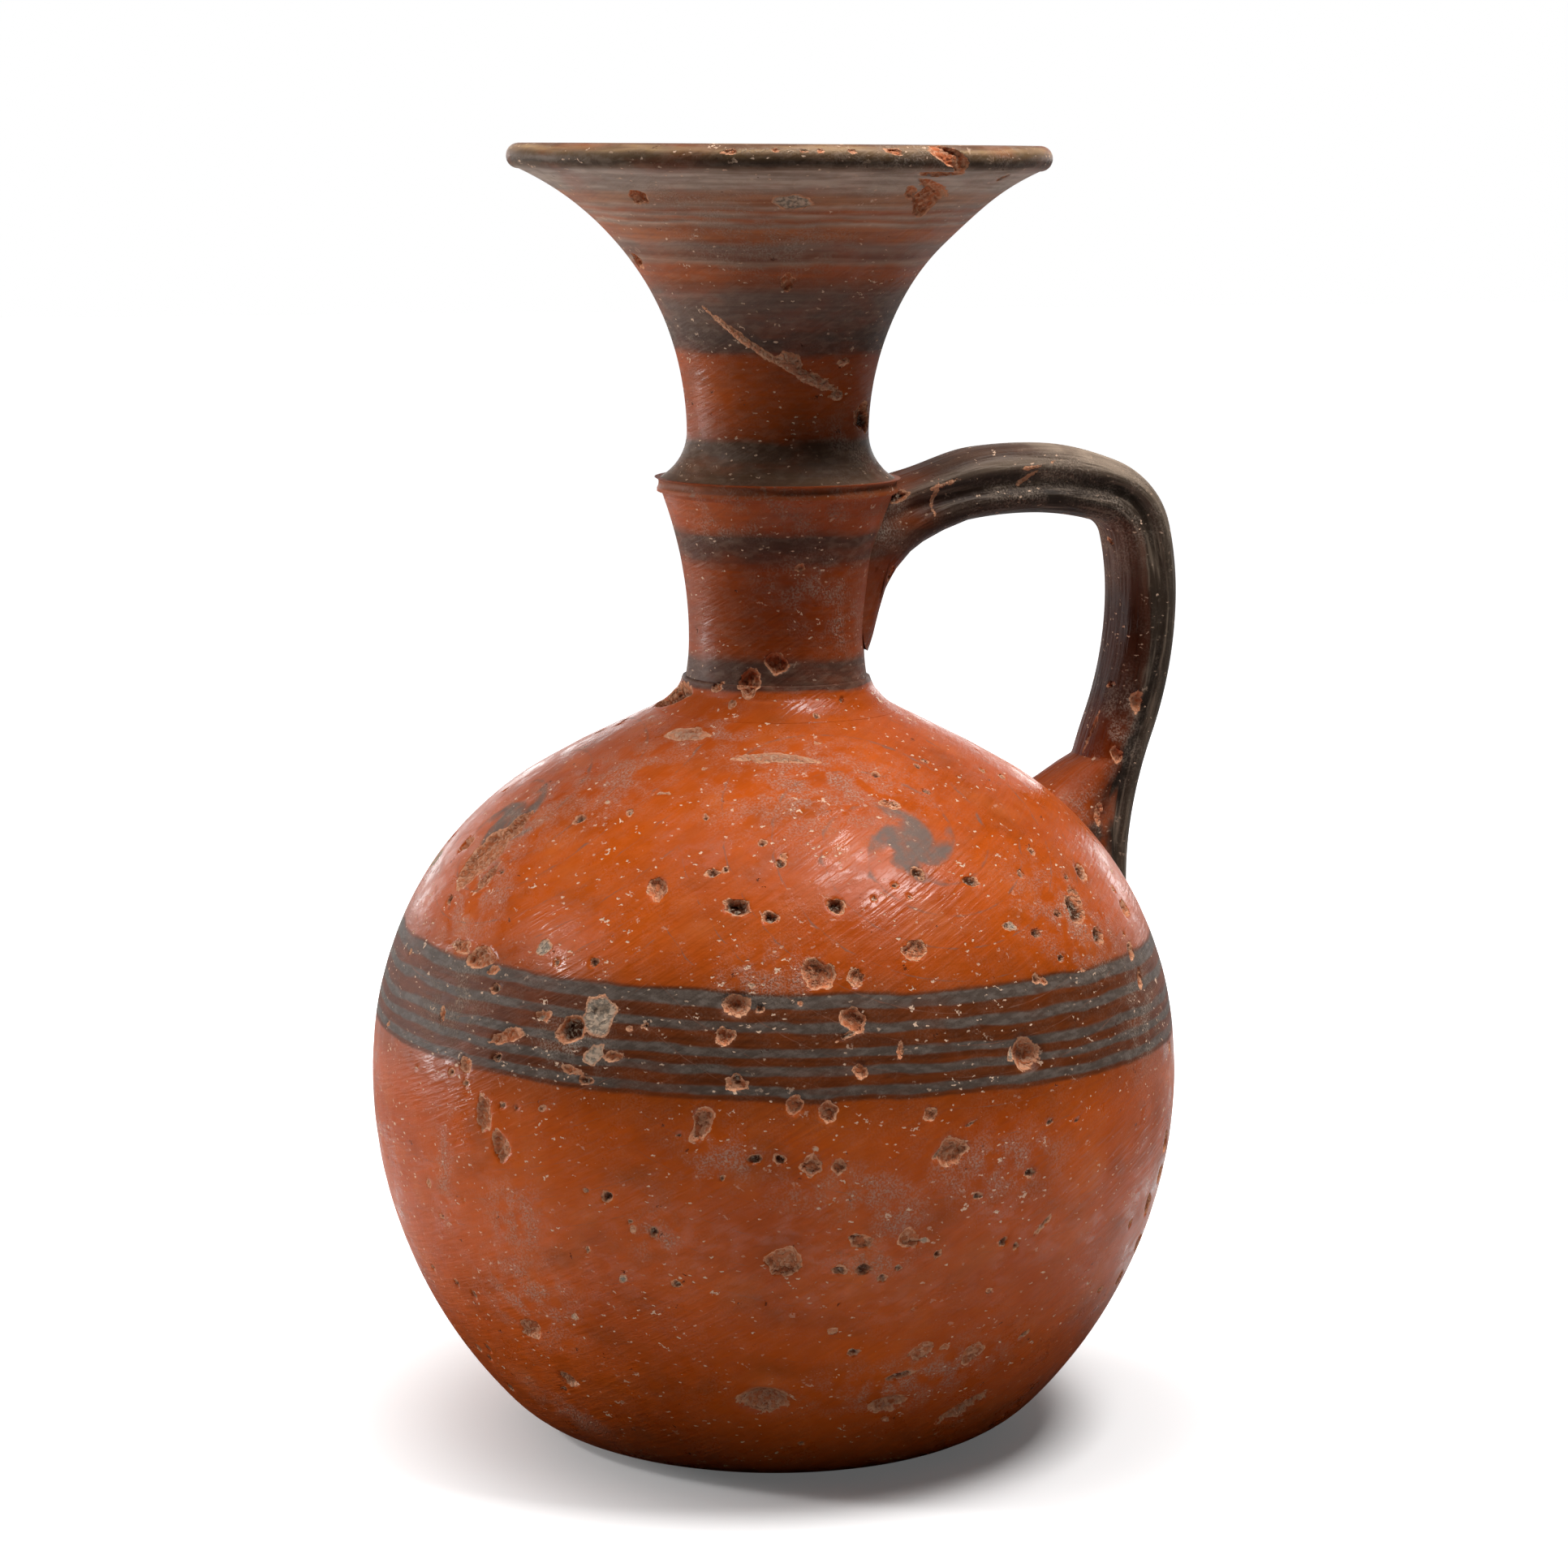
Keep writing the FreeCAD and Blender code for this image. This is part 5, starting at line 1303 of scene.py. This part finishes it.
def make_floor():
    """A white sheet under the jug: it goes out in white and keeps the jug's soft shadow. Its white glow, seen only by
    the camera, is weakest in a disc set a little to the jug's right. To the light that it throws back on the jug it is
    painted: near black close round the base as painted shade on the jug's lower part, bright in a ring and behind the
    jug as painted pools of light, and dim far off.
    """
    bpy.ops.object.select_all(action="DESELECT")
    bpy.ops.mesh.primitive_plane_add(size=6, location=(0, 0, 0))
    floor = bpy.context.object
    floor.name = "floor"
    material = bpy.data.materials.new("white_paper")
    material.use_nodes = True
    tree = material.node_tree
    tree.nodes.clear()
    seen = add(tree, "LightPath").outputs["Is Camera Ray"]
    place = add(tree, "TexCoord").outputs["Object"]
    reach = add(tree, "VectorMath", {"operation": "LENGTH"}, {0: place}).outputs["Value"]
    aside = (SHADOW_SHIFT * math.cos(VIEW_AZIMUTH), SHADOW_SHIFT * math.sin(VIEW_AZIMUTH), 0)
    gap = add(tree, "VectorMath", {"operation": "DISTANCE"}, {0: place, 1: aside}).outputs["Value"]
    lift = add(tree, "MapRange", {"interpolation_type": "SMOOTHSTEP"},
               {0: gap, 1: SHADOW_REACH * 0.35, 2: SHADOW_REACH, 3: FLOOR_LIFT, 4: 1.0}).outputs[0]
    # painted shade and light for the bounce: near black within 48 mm of the axis, bright in a ring, dim far off,
    # bright again behind the jug
    near = add(tree, "MapRange", None, {0: reach, 1: 48 * MM, 2: 82 * MM, 3: 0.04, 4: FLOOR_TONE}).outputs[0]
    far = add(tree, "MapRange", None, {0: reach, 1: 100 * MM, 2: 195 * MM, 3: 1.0, 4: 0.05}).outputs[0]
    away = (-math.sin(VIEW_AZIMUTH), math.cos(VIEW_AZIMUTH), 0)
    behind = add(tree, "VectorMath", {"operation": "DOT_PRODUCT"}, {0: place, 1: away}).outputs["Value"]
    back = add(tree, "MapRange", {"interpolation_type": "SMOOTHSTEP"},
               {0: behind, 1: 80 * MM, 2: 200 * MM, 3: 0.0, 4: 0.8}).outputs[0]
    dim = product(tree, near, add(tree, "Math", {"operation": "MAXIMUM"}, {0: far, 1: back}).outputs[0])
    tone = add(tree, "Mix", {"data_type": "RGBA"}, {0: seen, 6: dim, 7: (0.8, 0.8, 0.8, 1)}).outputs[2]
    paper = add(tree, "BsdfDiffuse", None, {"Color": tone, "Roughness": 0.0})
    glow = add(tree, "Emission", None, {"Color": (1, 1, 1, 1), "Strength": product(tree, lift, seen)})
    both = add(tree, "AddShader", None, {0: paper.outputs[0], 1: glow.outputs[0]})
    out = add(tree, "OutputMaterial")
    tree.links.new(both.outputs[0], out.inputs[0])
    floor.data.materials.append(material)
    return floor


def make_world():
    """White to the eye; to the jug a bright wall behind and a dim room on the camera's side."""
    world = bpy.data.worlds.new("studio")
    bpy.context.scene.world = world
    world.use_nodes = True
    tree = world.node_tree
    tree.nodes.clear()
    direction = add(tree, "TexCoord").outputs["Generated"]
    away = (-math.sin(VIEW_AZIMUTH), math.cos(VIEW_AZIMUTH), 0)
    facing = add(tree, "VectorMath", {"operation": "DOT_PRODUCT"}, {0: direction, 1: away}).outputs["Value"]
    level = add(tree, "MapRange", {"interpolation_type": "SMOOTHSTEP"},
                {0: facing, 1: 0.5, 2: 1.0, 3: ROOM_LEVEL, 4: WALL_LEVEL}).outputs[0]
    height = add(tree, "SeparateXYZ", None, {0: direction}).outputs[2]
    low = add(tree, "MapRange", {"interpolation_type": "SMOOTHSTEP"}, {0: height, 1: 0.0, 2: 0.25, 3: 1.0, 4: 0.12}).outputs[0]
    room = add(tree, "Background", None, {"Color": (1, 1, 1, 1), "Strength": product(tree, level, low)})
    white = add(tree, "Background", None, {"Color": (1, 1, 1, 1), "Strength": 1.0})
    seen = add(tree, "LightPath").outputs["Is Camera Ray"]
    mixed = add(tree, "MixShader", None, {0: seen, 1: room.outputs[0], 2: white.outputs[0]})
    out = add(tree, "OutputWorld")
    tree.links.new(mixed.outputs[0], out.inputs[0])


def soft_light(name, azimuth, elevation, distance, width, height, radiance, tint="#ffffff"):
    """A lamp with a flat face, aimed at the jug's middle; angles as seen from the camera's left."""
    data = bpy.data.lights.new(name, "AREA")
    data.shape = "RECTANGLE"
    data.size, data.size_y = width, height
    data.energy = radiance * math.pi * width * height
    data.color = linear(tint)[:3]
    lamp = bpy.data.objects.new(name, data)
    bpy.context.scene.collection.objects.link(lamp)
    turn = math.radians(azimuth) + VIEW_AZIMUTH
    lift = math.radians(elevation)
    side = Vector((math.cos(turn) * math.cos(lift), math.sin(turn) * math.cos(lift), math.sin(lift)))
    target = Vector((0, 0, 80 * MM))
    lamp.location = target + side * distance
    lamp.rotation_euler = (-side).to_track_quat("-Z", "Y").to_euler()
    lamp.visible_camera = False
    return lamp


# How bright the studio is: 1 is white
FLOOR_LIFT = 0.095
FLOOR_TONE = 1.0
SHADOW_REACH = 85 * MM
SHADOW_SHIFT = 14 * MM
ROOM_LEVEL = 0.015
WALL_LEVEL = 3.6

camera = photo_camera()
make_world()
soft_light("overhead_softbox", -90, 86, 0.60, 0.50, 0.40, 1.8)
soft_light("right_top_softbox", -20, 66, 0.60, 0.28, 0.20, 24.0)
soft_light("left_lamp", -166, 31, 0.65, 0.09, 0.07, 66.0)
soft_light("left_strip", -196, -2, 0.60, 0.20, 0.24, 14.0)
floor = make_floor()

body = throw("clay_body", body_outline())
neck_collar = throw("clay_neck_collar", collar_outline())
neck_foot_coil = throw("clay_neck_foot_coil", coil_outline())
neck_ridge = throw("clay_neck_ridge", ridge_outline())
funnel_mouth = throw("clay_funnel_mouth", funnel_outline())
handle = make_strap()
shape_strap(handle)
handle_top_luting, handle_foot_luting = split_strap(handle)

thrown = [body, neck_collar, neck_foot_coil, neck_ridge, funnel_mouth]
pieces = thrown + [handle, handle_top_luting, handle_foot_luting]
for piece in thrown:
    settle(piece)
bpy.context.view_layer.update()
marks = []
for kind, laid in (("pit", PITS), ("spall", SPALLS), ("bowl", BOWLS), ("weal", WEALS), ("lime", LIMES), ("gap", GAPS)):
    marks += photo_marks(camera, pieces, kind, laid)
marks += scattered_marks([body], camera, 100, (6, 84), 5)
marks += scattered_marks([body], camera, 110, (5, 84), 21, False)
marks += scattered_marks(thrown, camera, 22, (86, 148), 9)
deposits = photo_marks(camera, pieces, "crust", CRUSTS)
for piece in pieces:
    carve(piece, marks)
    encrust(piece, deposits)
    smooth(piece, 42)

body.data.materials.append(thrown_finish("burnished_slip_with_belly_lines", None, LINE_SLOPE, True))
neck_paint = thrown_finish("burnished_slip_with_neck_bands", NECK_LEVELS)
neck_collar.data.materials.append(neck_paint)
neck_foot_coil.data.materials.append(neck_paint)
neck_ridge.data.materials.append(ridge_finish())
funnel_mouth.data.materials.append(thrown_finish("burnished_slip_with_funnel_bands", FUNNEL_LEVELS))
handle.data.materials.append(strap_finish("brown_paint_on_strap", 0.0))
luting = strap_finish("smeared_luting_clay", 0.0)
handle_top_luting.data.materials.append(luting)
handle_foot_luting.data.materials.append(luting)

for piece in pieces:
    node = piece.name.removeprefix("clay_")
    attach(piece, "root")
    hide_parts(node)

scene = bpy.context.scene
scene.view_settings.view_transform = "Standard"
